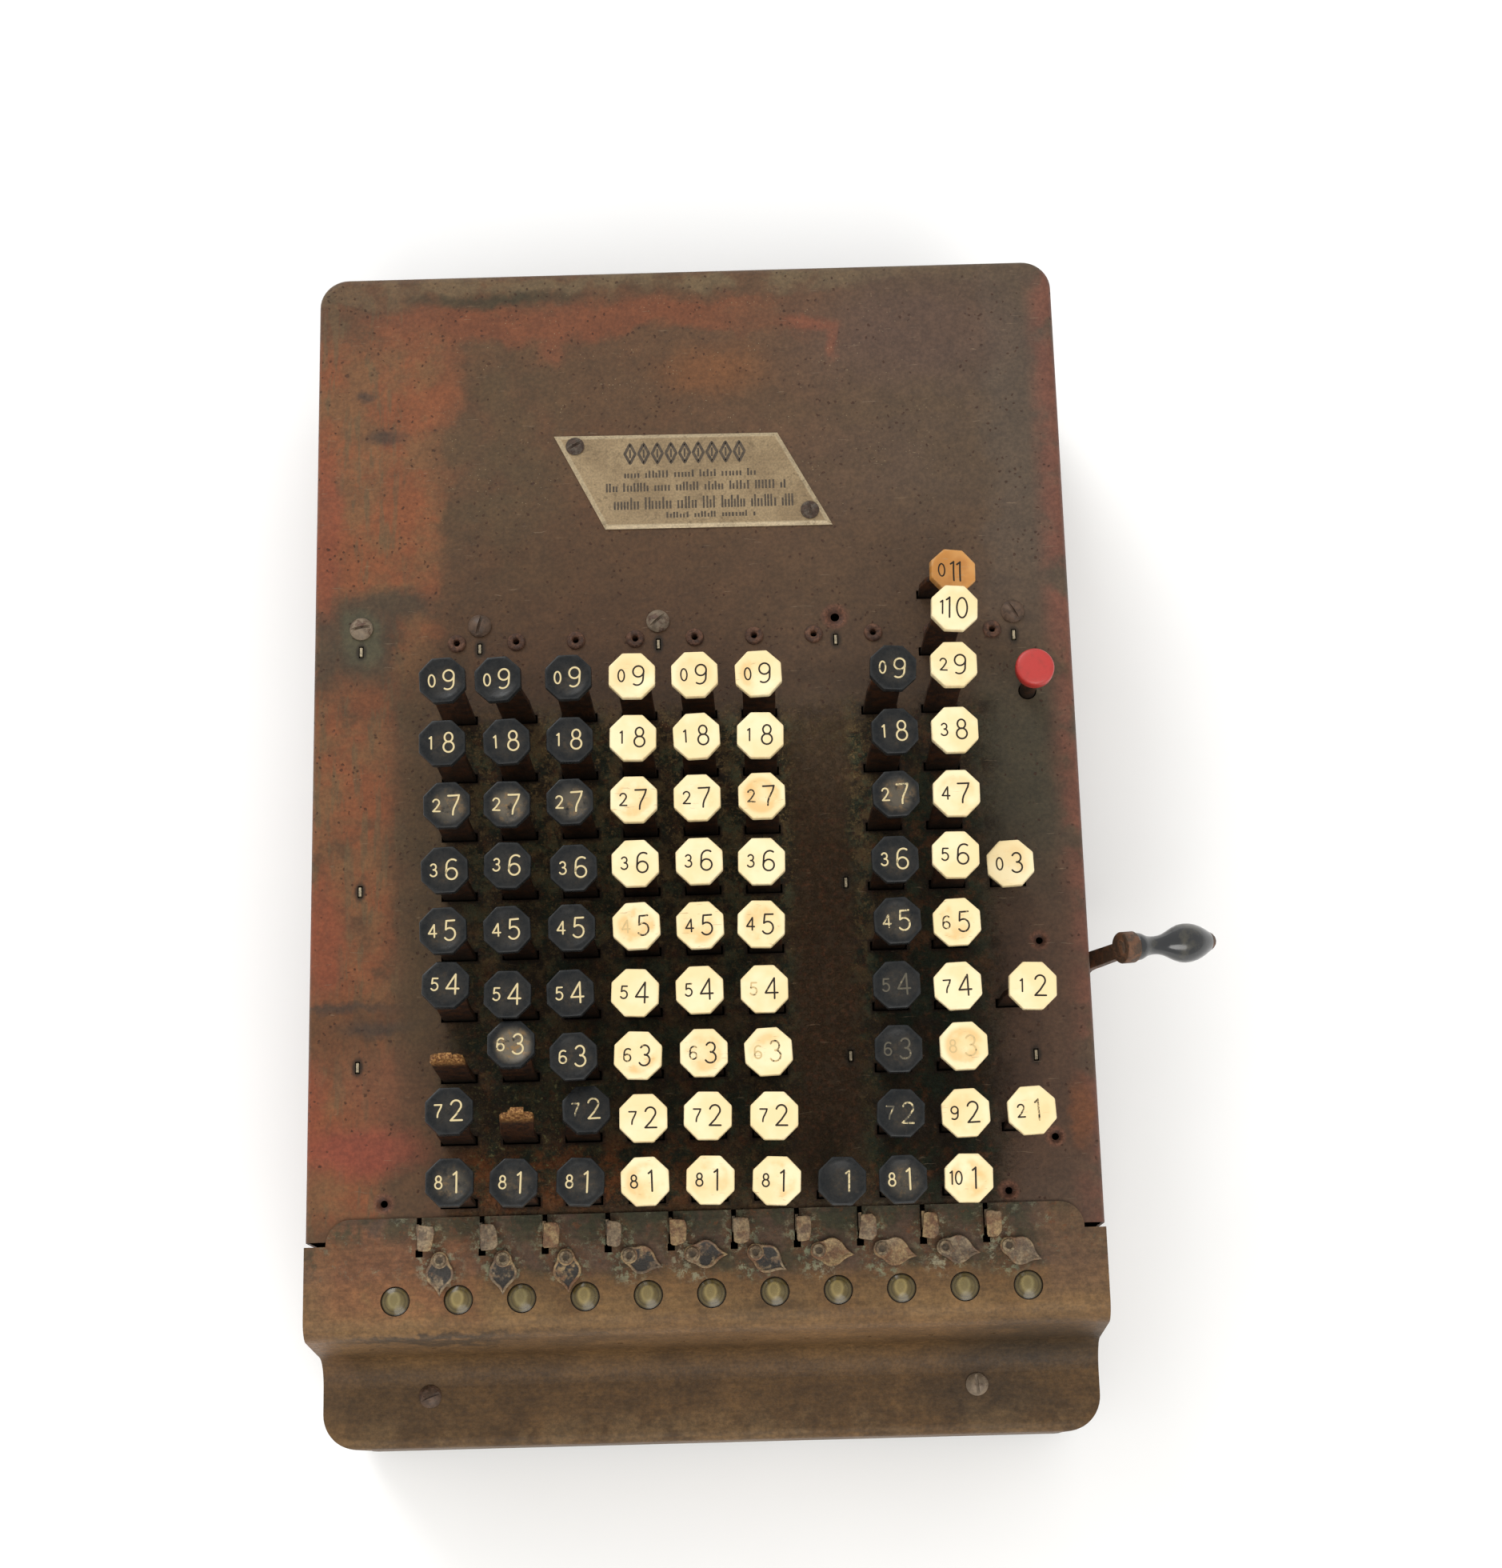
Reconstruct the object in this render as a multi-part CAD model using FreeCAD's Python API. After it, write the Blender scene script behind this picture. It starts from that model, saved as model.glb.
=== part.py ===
import FreeCAD, Part
import math
import os

os.makedirs("parts", exist_ok=True)

# Key-driven adding machine with a sheet-metal case.  Millimetres.
# X to the operator's right, Y to the rear, Z up.  Origin: centre of the case
# footprint, on the table.

V = FreeCAD.Vector

# ---- case ------------------------------------------------------------------
CASE_W = 242.6            # width over the side walls
CASE_Y0 = -188.8          # front wall
CASE_Y1 = 188.9           # rear wall
CASE_H = 102.0            # table to case top
FOOT_H = 8.0
BASE_T = 2.0
SHEET = 1.2               # case sheet thickness
PASS = 5.0                # how far a cut reaches above and below the sheet
SEAT_GAP = 0.05           # radial gap round screws, rivets and eyelets in their holes
COVER_T = 1.0             # front cover sheet thickness
REAR_R = 9.5              # rear vertical corners
FRONT_R = 11.0            # front vertical corners
TOP_R = 2.5               # rounding along the top edges
CASE_FRONT = -128.0       # front end of the main case
COVER_REAR = -129.5       # rear end of the cover's side walls
TONGUE_Y = -121.5         # rear edge of the cover's lap over the case
TONGUE_X = 114.75         # half width of the lap
TONGUE_R = 7.5
LEDGE_Z = 63.0            # top of the low ledge along the front
S_START = -151.1          # where the level cover begins to fall
CREST_R = 6.5             # bend at the top of the fall
HOLLOW_R = 9.5            # bend at its foot
S_TURN = 83.0             # degrees turned in each bend
LEDGE_R = 3.0

# ---- key grid --------------------------------------------------------------
PITCH = 19.05             # three quarters of an inch, both ways
COL_X0 = 10.3             # X halfway between columns 5 and 6
KEY_DX = 1.0              # keys stand this far right of the column line
ROW9_Y = 34.9
CAP_AF = 14.0             # octagonal cap, across flats
CAP_T = 3.5
CAP_CHAMFER = 0.9
DISH_DEPTH = 0.8
DISH_R = 6.1
TOP_ROW1 = 38.0           # cap top over case top in row 1, and 1 mm more per row
STEM_W = 10.2
STEM_T = 1.7
TONGUE_W = 4.0            # stem end that enters the cap
TONGUE_IN = 2.0
TONGUE_GAP = 0.05
SHOULDER_GAP = 2.6        # shoulder to underside of the cap
SHOULDER_CUT = 1.2        # corner cut off each shoulder
STEM_FOOT_Z = 58.0        # lower end of every stem at rest
CASE_SLOT_GAP = 0.6
GUIDE_GAP = 0.1
GUIDE_Z = 68.0
GUIDE_T = 1.5
GUIDE_Y0 = -121.0
GUIDE_Y1 = 90.0
BUTTON_X = 106.3
BUTTON_Y = 39.9
BUTTON_R = 6.0
BUTTON_TOP = 27.0
BUTTON_STEM_R = 2.5
BUTTON_GAP = 0.4          # round the button's stem in the case top

# ---- register --------------------------------------------------------------
WINDOW_DX = 0.9
WINDOW_Y = -146.2
WINDOW_R = 4.45
LENS_R = 4.3
LENS_FLANGE_R = 4.85
WHEEL_R = 8.8
WHEEL_W = 8.0
WHEEL_Z = 92.0
SHAFT_R = 3.0
RUN_GAP = 0.05            # radial running clearance
FOLD_HOLE_DX = -8.8
FOLD_HOLE_Z = 83.0
FOLD_HOLE_R = 0.8

# ---- cut-off tabs and decimal pointers -------------------------------------
SLOT_DX = -11.0
SLOT_W = 1.5
SLOT_Y0 = -133.1
SLOT_END = 2.2
TAB_W = 5.8
TAB_L = 8.5
TAB_Y = -128.0
TAB_Z = 4.2               # underside of the thumb plate over the case top
TAB_T = 1.0
BLADE_L = 5.0
RIVET_DX = -4.6
RIVET_Y = -134.5
POINTER_Z = 2.03          # underside over the case top
POINTER_T = 0.8
POINTER_ANGLES = (0, 0, 4, 70, 88, 59, 82, 77, 80, 66)   # from -Y towards +X

# ---- zeroing lever ---------------------------------------------------------
LEVER_Y = -42.8
LEVER_Z = 42.0            # pivot
LEVER_X0 = 122.6          # inner face of the arm
LEVER_T = 3.0
LEVER_W = 5.6
LEVER_HUB = 8.0
BEND_Z = 72.0             # the arm leans outwards above this height
BOSS_AT = (131.5, -43.0, 96.5)   # centre of the boss's inner face
BOSS_R = 4.95
BOSS_L = 5.1
LEVER_SHAFT_R = 4.95
GRIP_L = 28.3             # turned grip, without its metal end
GRIP_CAP_L = 2.5
GRIP_DROP = 25.0          # degrees the grip slopes down, outwards
GRIP_YAW = 7.7

# ---- inner frame -----------------------------------------------------------
FRAME_X = 112.0
FRAME_T = 2.5
PIVOT_Y = 130.0
PIVOT_Z = 36.0
ROD_R = 3.0
FOOT_X = 100.0
FOOT_Y = 165.0
FOOT_R = 10.0
FOOT_HOLE_R = 2.25

HALF_W = CASE_W / 2.0
TOP = CASE_H


def col_x(col):
    """X of a column line, columns 1 to 10 from the left."""
    return COL_X0 + (col - 5.5) * PITCH


def key_xy(col, row):
    return col_x(col) + KEY_DX, ROW9_Y - (9 - row) * PITCH


def box(x0, x1, y0, y1, z0, z1):
    return Part.makeBox(x1 - x0, y1 - y0, z1 - z0, V(x0, y0, z0))


def cyl(r, x, y, z, length, axis=V(0, 0, 1)):
    return Part.makeCylinder(r, length, V(x, y, z), axis)


def save(name, solids):
    shape = Part.makeCompound(solids) if len(solids) > 1 else solids[0]
    shape.exportStep("parts/" + name + ".step")


def loose_solids(shape):
    """The single solid of a boolean result, without its compound wrapper."""
    return shape.Solids[0] if len(shape.Solids) == 1 else shape


def turned(start, steps, x, y, z):
    """Solid of revolution about a vertical axis.  Each step lists (radius, height) points:
    one makes a line, two an arc through the first, more a smooth curve through all."""
    edges = []
    here = start
    for step in steps:
        pts = [V(r, 0, h) for r, h in (here,) + tuple(step)]
        if len(pts) == 2:
            edges.append(Part.makeLine(pts[0], pts[1]))
        elif len(pts) == 3:
            edges.append(Part.Arc(pts[0], pts[1], pts[2]).toShape())
        else:
            curve = Part.BSplineCurve()
            curve.interpolate(pts)
            edges.append(curve.toShape())
        here = step[-1]
    edges.append(Part.makeLine(V(here[0], 0, here[1]), V(start[0], 0, start[1])))
    solid = Part.Face(Part.Wire(edges)).revolve(V(0, 0, 0), V(0, 0, 1), 360)
    solid.translate(V(x, y, z))
    return solid


def dome(radius, low, high):
    """Arc step from the rim of a dome at height low to its crown at height high."""
    centre = (high ** 2 - low ** 2 - radius ** 2) / (2.0 * (high - low))
    r = high - centre
    half = math.asin(min(1.0, radius / r)) / 2.0
    return [(r * math.sin(half), centre + r * math.cos(half)), (0, high)]


def octagon(af, z0, z1, x, y):
    """Octagonal prism, flats facing X and Y."""
    r = af / 2.0 / math.cos(math.pi / 8)
    pts = []
    for i in range(8):
        a = math.pi / 8 + i * math.pi / 4
        pts.append(V(x + r * math.cos(a), y + r * math.sin(a), z0))
    pts.append(pts[0])
    return Part.Face(Part.makePolygon(pts)).extrude(V(0, 0, z1 - z0))


def key_cap(x, y, top, dished):
    """Octagonal cap with its lower edge tapered in.  Odd figures have dished caps."""
    z0 = top - CAP_T
    upper = octagon(CAP_AF, z0 + CAP_CHAMFER, top, x, y)
    r0 = (CAP_AF / 2.0 - CAP_CHAMFER) / math.cos(math.pi / 8)
    r1 = CAP_AF / 2.0 / math.cos(math.pi / 8)
    rings = []
    for r, z in ((r0, z0), (r1, z0 + CAP_CHAMFER)):
        pts = []
        for i in range(8):
            a = math.pi / 8 + i * math.pi / 4
            pts.append(V(x + r * math.cos(a), y + r * math.sin(a), z))
        pts.append(pts[0])
        rings.append(Part.makePolygon(pts))
    cap = upper.fuse(Part.makeLoft(rings, True)).removeSplitter()
    if dished:
        ball_r = (DISH_R ** 2 + DISH_DEPTH ** 2) / (2 * DISH_DEPTH)
        cap = cap.cut(Part.makeSphere(ball_r, V(x, y, top - DISH_DEPTH + ball_r)))
    half_w = TONGUE_W / 2.0 + TONGUE_GAP
    half_t = STEM_T / 2.0 + TONGUE_GAP
    pocket = box(x - half_w, x + half_w, y - half_t, y + half_t, z0 - 1, z0 + TONGUE_IN + TONGUE_GAP)
    return loose_solids(cap.cut(pocket))


def key_stem(x, y, cap_under):
    """Flat stem with shoulders and a narrow end that enters the cap."""
    half = STEM_W / 2.0
    neck = TONGUE_W / 2.0
    shoulder = cap_under - SHOULDER_GAP
    tip = cap_under + TONGUE_IN
    inner = half - SHOULDER_CUT
    outline = [(-half, STEM_FOOT_Z), (half, STEM_FOOT_Z), (half, shoulder - SHOULDER_CUT),
               (inner, shoulder), (neck, shoulder), (neck, tip), (-neck, tip),
               (-neck, shoulder), (-inner, shoulder), (-half, shoulder - SHOULDER_CUT)]
    pts = [V(x + px, y - STEM_T / 2.0, pz) for px, pz in outline]
    pts.append(pts[0])
    return Part.Face(Part.makePolygon(pts)).extrude(V(0, STEM_T, 0))


def key(col, row, dished, top=None, capped=True):
    """Cap and stem of one key as separate solids."""
    x, y = key_xy(col, row)
    if top is None:
        top = TOP + TOP_ROW1 + (row - 1)
    parts = [key_stem(x, y, top - CAP_T)]
    if capped:
        parts.append(key_cap(x, y, top, dished))
    return parts


def rounded_plan(x0, x1, y0, y1, radius, corners):
    """Plan face; corners is a set out of 'fl', 'fr', 'rl', 'rr' to round."""
    pts = {"fl": V(x0, y0, 0), "fr": V(x1, y0, 0), "rr": V(x1, y1, 0), "rl": V(x0, y1, 0)}
    ways = {"fl": (V(0, 1, 0), V(1, 0, 0)), "fr": (V(-1, 0, 0), V(0, 1, 0)),
            "rr": (V(0, -1, 0), V(-1, 0, 0)), "rl": (V(1, 0, 0), V(0, -1, 0))}
    k = 1 - math.sqrt(0.5)
    ends = []
    for name in ("fl", "fr", "rr", "rl"):
        p = pts[name]
        before, after = ways[name]
        if name in corners:
            a = p + before * radius
            b = p + after * radius
            mid = p + (before + after) * (radius * k)
            ends.append((a, mid, b))
        else:
            ends.append((p, None, p))
    edges = []
    for i in range(4):
        a, mid, b = ends[i]
        if mid is not None:
            edges.append(Part.Arc(a, mid, b).toShape())
        edges.append(Part.makeLine(b, ends[(i + 1) % 4][0]))
    return Part.Face(Part.Wire(edges))


def cover_profile(inset):
    """Side outline of the front cover, moved inwards by inset."""
    turn = math.radians(S_TURN)
    top = TOP + COVER_T - inset
    r1 = CREST_R - inset
    r2 = HOLLOW_R + inset
    c1 = V(0, S_START, TOP + COVER_T - CREST_R)
    z_low = LEDGE_Z - inset
    drop = (TOP + COVER_T - LEDGE_Z) - (CREST_R + HOLLOW_R) * (1 - math.cos(turn))
    run = (CREST_R + HOLLOW_R) * math.sin(turn) + drop / math.tan(turn)
    c2 = V(0, S_START - run, LEDGE_Z + HOLLOW_R)
    front = CASE_Y0 + inset
    r3 = LEDGE_R - inset
    c3 = V(0, CASE_Y0 + LEDGE_R, LEDGE_Z - LEDGE_R)

    def on(c, r, deg):
        a = math.radians(deg)
        return c + V(0, -r * math.sin(a), r * math.cos(a))

    z0 = FOOT_H + BASE_T - (1.0 if inset > 0 else 0.0)
    rear = COVER_REAR + (1.0 if inset > 0 else 0.0)
    a0 = V(0, rear, z0)
    a1 = V(0, rear, top)
    b0 = on(c1, r1, 0)
    b1 = on(c1, r1, S_TURN)
    d0 = c2 + V(0, r2 * math.sin(turn), -r2 * math.cos(turn))
    d1 = V(0, c2.y, z_low)
    e0 = on(c3, r3, 0)
    e1 = on(c3, r3, 90)
    f0 = V(0, front, z0)
    half = math.radians(S_TURN / 2.0)
    dm = c2 + V(0, r2 * math.sin(half), -r2 * math.cos(half))
    edges = [Part.makeLine(a0, a1), Part.makeLine(a1, b0),
             Part.Arc(b0, on(c1, r1, S_TURN / 2.0), b1).toShape(), Part.makeLine(b1, d0),
             Part.Arc(d0, dm, d1).toShape(), Part.makeLine(d1, e0),
             Part.Arc(e0, on(c3, r3, 45), e1).toShape(), Part.makeLine(e1, f0),
             Part.makeLine(f0, a0)]
    return Part.Face(Part.Wire(edges))


def cover_block(inset):
    """Solid enclosed by the front cover at a given inset from its outside."""
    face = cover_profile(inset)
    face.translate(V(-HALF_W + inset, 0, 0))
    block = face.extrude(V(CASE_W - 2 * inset, 0, 0))
    plan = rounded_plan(-HALF_W + inset, HALF_W - inset, CASE_Y0 + inset, COVER_REAR + 5,
                        FRONT_R - inset, {"fl", "fr"})
    plan = plan.extrude(V(0, 0, TOP + 10))
    return block.common(plan)


# ---- positions shared by several pieces ------------------------------------
# Top screws in line behind the keyboard; the fourth one is lost, its hole remains.
TOP_SCREW_Y = 66.4
TOP_SCREW_X = (-106.1, -68.1, -10.9, 102.9)
LOST_SCREW_X = 45.9
EYELET_Y = 60.7
EYELET_R = 1.35
EYELET_FLANGE_R = 2.95
EYELET_BORE = 0.95
SCREW_R = 1.75
TOP_HEAD_R = 3.7
PLATE_SCREW_R = 1.15
PLATE_HEAD_R = 3.0
RIVET_R = 0.9
POINTER_NECK_R = 1.0
PIN_Y = 58.7
PIN_SLOT_W = 1.5
PIN_SLOT_L = 3.8
PIN_T = 0.8
PIN_L = 2.8
PIN_SLOTS = tuple((x, PIN_Y) for x in TOP_SCREW_X + (LOST_SCREW_X,)) + (
    (-105.6, -19.8), (-105.8, -75.1), (46.4, -20.9), (46.0, -75.5), (103.0, -76.6))
EMPTY_HOLES = ((105.9, -40.9), (107.6, -101.8), (92.6, -117.8), (-97.3, -116.9))
LIP_SCREWS = ((-87.8, -173.2), (83.1, -173.8))
PLATE = ((-43.8, 130.6), (29.2, 129.9), (46.2, 97.6), (-27.4, 98.0))
PLATE_SCREWS = ((-36.9, 126.7), (39.0, 102.6))
PLATE_T = 0.9
FARTHING_ROWS = {1: 2, 2: 4, 3: 6}
KEY_SPOTS = [(c, r) for c in (1, 2, 3, 4, 5, 6, 8) for r in range(1, 10)]
KEY_SPOTS += [(9, r) for r in range(1, 12)]
KEY_SPOTS += [(7, 1)]
KEY_SPOTS += [(10, r) for r in FARTHING_ROWS.values()]


def stem_slots(gap, z0, z1):
    slots = []
    for col, row in KEY_SPOTS:
        x, y = key_xy(col, row)
        slots.append(box(x - STEM_W / 2 - gap, x + STEM_W / 2 + gap,
                         y - STEM_T / 2 - gap, y + STEM_T / 2 + gap, z0, z1))
    return slots


def tab_slots():
    cuts = []
    for col in range(1, 11):
        x = col_x(col) + SLOT_DX
        cuts.append(box(x - SLOT_W / 2, x + SLOT_W / 2, SLOT_Y0, TONGUE_Y + 0.2,
                        TOP - PASS, TOP + PASS))
        cuts.append(box(x - SLOT_END / 2, x + SLOT_END / 2, SLOT_Y0 - 0.2,
                        SLOT_Y0 + SLOT_END - 0.2, TOP - PASS, TOP + PASS))
    return cuts


def top_hole(r, x, y):
    return cyl(r, x, y, TOP - PASS, 2 * PASS)


def sunk_hole(hole_r, rim_r, depth, x, y):
    """Hole through the case top with a countersink."""
    cone = Part.makeCone(hole_r, rim_r, depth, V(x, y, TOP - depth), V(0, 0, 1))
    return loose_solids(top_hole(hole_r, x, y).fuse(cone))


# ---- main case -------------------------------------------------------------
outer = rounded_plan(-HALF_W, HALF_W, CASE_FRONT, CASE_Y1, REAR_R, {"rl", "rr"})
outer.translate(V(0, 0, FOOT_H + BASE_T))
outer = outer.extrude(V(0, 0, TOP - FOOT_H - BASE_T))
rim = []
for edge in outer.Edges:
    bb = edge.BoundBox
    if bb.ZMin > TOP - 0.01 and bb.YMax > CASE_FRONT + 0.01:
        rim.append(edge)
outer = outer.makeFillet(TOP_R, rim)
inner = rounded_plan(-HALF_W + SHEET, HALF_W - SHEET, CASE_FRONT - 1, CASE_Y1 - SHEET,
                     REAR_R - SHEET, {"rl", "rr"})
inner = inner.extrude(V(0, 0, TOP - SHEET))
case_cuts = stem_slots(CASE_SLOT_GAP, TOP - PASS, TOP + PASS) + tab_slots()
for x, y in PIN_SLOTS:
    case_cuts.append(box(x - PIN_SLOT_W / 2, x + PIN_SLOT_W / 2, y - PIN_SLOT_L / 2, y + PIN_SLOT_L / 2,
                         TOP - PASS, TOP + PASS))
for x, y in EMPTY_HOLES:
    case_cuts.append(sunk_hole(1.1, 2.3, 0.7, x, y))
case_cuts.append(sunk_hole(1.4, 3.2, 0.8, LOST_SCREW_X, TOP_SCREW_Y))
for x in TOP_SCREW_X:
    case_cuts.append(top_hole(SCREW_R + SEAT_GAP, x, TOP_SCREW_Y))
for col in range(1, 11):
    case_cuts.append(top_hole(EYELET_R + SEAT_GAP, col_x(col), EYELET_Y))
for x, y in PLATE_SCREWS:
    case_cuts.append(top_hole(PLATE_SCREW_R + SEAT_GAP, x, y))
case_cuts.append(top_hole(BUTTON_STEM_R + BUTTON_GAP, BUTTON_X, BUTTON_Y))
case_cuts.append(cyl(LEVER_SHAFT_R + RUN_GAP, HALF_W - PASS, LEVER_Y, LEVER_Z, 2 * PASS, V(1, 0, 0)))
main_case = outer.cut(inner).cut(Part.makeCompound(case_cuts))
save("main_case", [loose_solids(main_case)])

# ---- front cover -----------------------------------------------------------
skin = cover_block(0.0).cut(cover_block(COVER_T))
lap = rounded_plan(-TONGUE_X, TONGUE_X, COVER_REAR - 0.5, TONGUE_Y, TONGUE_R, {"rl", "rr"})
lap.translate(V(0, 0, TOP))
skin = skin.fuse(lap.extrude(V(0, 0, COVER_T))).removeSplitter()
cover_cuts = tab_slots()
for col in range(0, 11):
    x = col_x(col)
    cover_cuts.append(top_hole(WINDOW_R, x + WINDOW_DX, WINDOW_Y))
    cover_cuts.append(cyl(FOLD_HOLE_R, x + FOLD_HOLE_DX, -150.0, FOLD_HOLE_Z, 15, V(0, -1, 0)))
for col in range(1, 11):
    cover_cuts.append(top_hole(RIVET_R + SEAT_GAP, col_x(col) + RIVET_DX, RIVET_Y))
for x, y in LIP_SCREWS:
    cover_cuts.append(cyl(SCREW_R + SEAT_GAP, x, y, LEDGE_Z - PASS, 2 * PASS))
front_cover = skin.cut(Part.makeCompound(cover_cuts))
save("front_cover", [loose_solids(front_cover)])

# ---- base plate and feet ---------------------------------------------------
plan = rounded_plan(-HALF_W, HALF_W, CASE_Y0, CASE_Y1, REAR_R, {"fl", "fr", "rl", "rr"})
plan.translate(V(0, 0, FOOT_H))
base = plan.extrude(V(0, 0, BASE_T))
feet = []
for sx in (-1, 1):
    for sy in (-1, 1):
        x = sx * FOOT_X
        y = sy * FOOT_Y
        base = base.cut(cyl(FOOT_HOLE_R, x, y, FOOT_H - 1, BASE_T + 2))
        foot = Part.makeCone(FOOT_R - 1.5, FOOT_R, FOOT_H, V(x, y, 0), V(0, 0, 1))
        feet.append(loose_solids(foot.cut(cyl(FOOT_HOLE_R, x, y, -1, FOOT_H + 2))))
save("base_plate", [loose_solids(base)])
save("rubber_feet", feet)

# ---- nameplate -------------------------------------------------------------
lower = Part.makePolygon([V(x, y, TOP) for x, y in PLATE] + [V(PLATE[0][0], PLATE[0][1], TOP)])
centre_x = sum(p[0] for p in PLATE) / 4.0
centre_y = sum(p[1] for p in PLATE) / 4.0
shrink = 0.965
upper_pts = [V(centre_x + (x - centre_x) * shrink, centre_y + (y - centre_y) * shrink, TOP + PLATE_T)
             for x, y in PLATE]
upper = Part.makePolygon(upper_pts + [upper_pts[0]])
plate = Part.makeLoft([lower, upper], True)
for x, y in PLATE_SCREWS:
    plate = plate.cut(top_hole(PLATE_SCREW_R + SEAT_GAP, x, y))
save("nameplate", [loose_solids(plate)])


# ---- screws, rivets and pins ----------------------------------------------
def slotted_screw(x, y, z, head_r, head_h, shank_r, shank_l, slot_deg):
    """Round-head screw; z is the seat of the head."""
    head = turned((0, -shank_l), [[(shank_r, -shank_l)], [(shank_r, 0)], [(head_r, 0)],
                                  [(head_r, head_h * 0.25)], dome(head_r, head_h * 0.25, head_h)],
                  x, y, z)
    slot = box(-head_r, head_r, -0.45, 0.45, head_h * 0.45, head_h + 1)
    slot.rotate(V(0, 0, 0), V(0, 0, 1), slot_deg)
    slot.translate(V(x, y, z))
    return loose_solids(head.cut(slot))


case_screws = []
for i, x in enumerate(TOP_SCREW_X):
    slot_deg = (10, 75, 40, 120)[i]
    case_screws.append(slotted_screw(x, TOP_SCREW_Y, TOP, TOP_HEAD_R, 2.3, SCREW_R, 5.0, slot_deg))
for i, (x, y) in enumerate(LIP_SCREWS):
    case_screws.append(slotted_screw(x, y, LEDGE_Z, 3.5, 2.0, SCREW_R, 5.0, (20, 95)[i]))
save("case_screws", case_screws)

small = []
for col in range(1, 11):
    small.append(turned((EYELET_BORE, -3.0), [[(EYELET_R, -3.0)], [(EYELET_R, 0)], [(EYELET_FLANGE_R, 0)],
                                              [(2.65, 0.75), (1.9, 0.95)],
                                              [(1.3, 0.85), (EYELET_BORE, 0.3)]],
                        col_x(col), EYELET_Y, TOP))
for i, (x, y) in enumerate(PLATE_SCREWS):
    small.append(slotted_screw(x, y, TOP + PLATE_T, PLATE_HEAD_R, 1.5, PLATE_SCREW_R, 4.0, (30, 100)[i]))
for x, y in PIN_SLOTS:
    small.append(box(x - PIN_T / 2, x + PIN_T / 2, y - PIN_L / 2, y + PIN_L / 2, TOP - 6, TOP + 0.3))
for col in range(1, 11):
    x = col_x(col) + RIVET_DX
    z = TOP + COVER_T
    small.append(turned((0, -3.0), [[(RIVET_R, -3.0)], [(RIVET_R, 0)], [(2.2, 0)], [(2.2, 1.0)],
                                    [(POINTER_NECK_R, 1.0)], [(POINTER_NECK_R, 1.86)], [(2.0, 1.86)],
                                    [(2.0, 2.3)], [(1.9, 2.6), (1.6, 2.7)], [(1.2, 2.7)],
                                    [(1.0, 2.35)], [(0, 2.35)]], x, RIVET_Y, z))
save("small_fasteners", small)

# ---- window lenses ---------------------------------------------------------
lenses = []
for col in range(0, 11):
    lens = turned((0, -0.6), [[(LENS_FLANGE_R, -0.6)], [(LENS_FLANGE_R, 0)], [(LENS_R, 0)],
                              [(LENS_R, 0.6)], dome(LENS_R, 0.6, 1.7)],
                  col_x(col) + WINDOW_DX, WINDOW_Y, TOP)
    lenses.append(lens)
save("window_lenses", lenses)

# ---- numeral wheels and rods ----------------------------------------------
wheels = []
for col in range(0, 11):
    x = col_x(col) + WINDOW_DX
    rim_part = cyl(WHEEL_R, x - WHEEL_W / 2, WINDOW_Y, WHEEL_Z, WHEEL_W, V(1, 0, 0))
    hub = cyl(5.0, x - 8.0, WINDOW_Y, WHEEL_Z, 16.0, V(1, 0, 0))
    bore = cyl(SHAFT_R + RUN_GAP, x - 9.0, WINDOW_Y, WHEEL_Z, 18.0, V(1, 0, 0))
    wheels.append(loose_solids(rim_part.fuse(hub).cut(bore)))
save("numeral_wheels", wheels)

rod_spots = ((WINDOW_Y, WHEEL_Z, SHAFT_R), (PIVOT_Y, PIVOT_Z, ROD_R), (-112.0, 26.0, ROD_R),
             (150.0, 84.0, ROD_R))
rods = []
frame_pts = [(-151.5, 84.0), (-151.5, 98.0), (-140.0, 98.0), (-130.0, 90.0), (165.0, 90.0),
             (165.0, 12.0), (-125.0, 12.0), (-125.0, 60.0), (-140.0, 84.0)]
frames = []
for side in (-1, 1):
    x0 = side * FRAME_X - FRAME_T / 2
    pts = [V(x0, y, z) for y, z in frame_pts]
    frame = Part.Face(Part.makePolygon(pts + [pts[0]])).extrude(V(FRAME_T, 0, 0))
    for y, z, r in rod_spots:
        frame = frame.cut(cyl(r, x0 - 1, y, z, FRAME_T + 2, V(1, 0, 0)))
    if side > 0:
        frame = frame.cut(cyl(LEVER_SHAFT_R + RUN_GAP, x0 - 1, LEVER_Y, LEVER_Z, FRAME_T + 2,
                              V(1, 0, 0)))
    frame = frame.cut(box(x0 - 1, x0 + FRAME_T + 1, -20, 100, 50, 62))
    frames.append(loose_solids(frame))
for y, z, r in rod_spots:
    rods.append(cyl(r, -FRAME_X - 3, y, z, 2 * FRAME_X + 6, V(1, 0, 0)))
save("side_frames", frames)
save("cross_rods", rods)

# ---- key guide -------------------------------------------------------------
guide = box(-FRAME_X + FRAME_T / 2, FRAME_X - FRAME_T / 2, GUIDE_Y0, GUIDE_Y1, GUIDE_Z, GUIDE_Z + GUIDE_T)
guide_cuts = stem_slots(GUIDE_GAP, GUIDE_Z - 1, GUIDE_Z + GUIDE_T + 1)
guide_cuts.append(cyl(BUTTON_STEM_R + RUN_GAP, BUTTON_X, BUTTON_Y, GUIDE_Z - 1, GUIDE_T + 2))
save("key_guide", [loose_solids(guide.cut(Part.makeCompound(guide_cuts)))])

# ---- column levers ---------------------------------------------------------
RACK_R = 268.0            # pivot to the tips of the rack teeth
RACK_TEETH = 10
RACK_A0 = 2.0             # first tooth, degrees above the horizontal
TOOTH_STEP = 0.84
TOOTH_H = 1.6
LEVER_HUB_R = 6.0
LEVER_PLATE = 1.6


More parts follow.
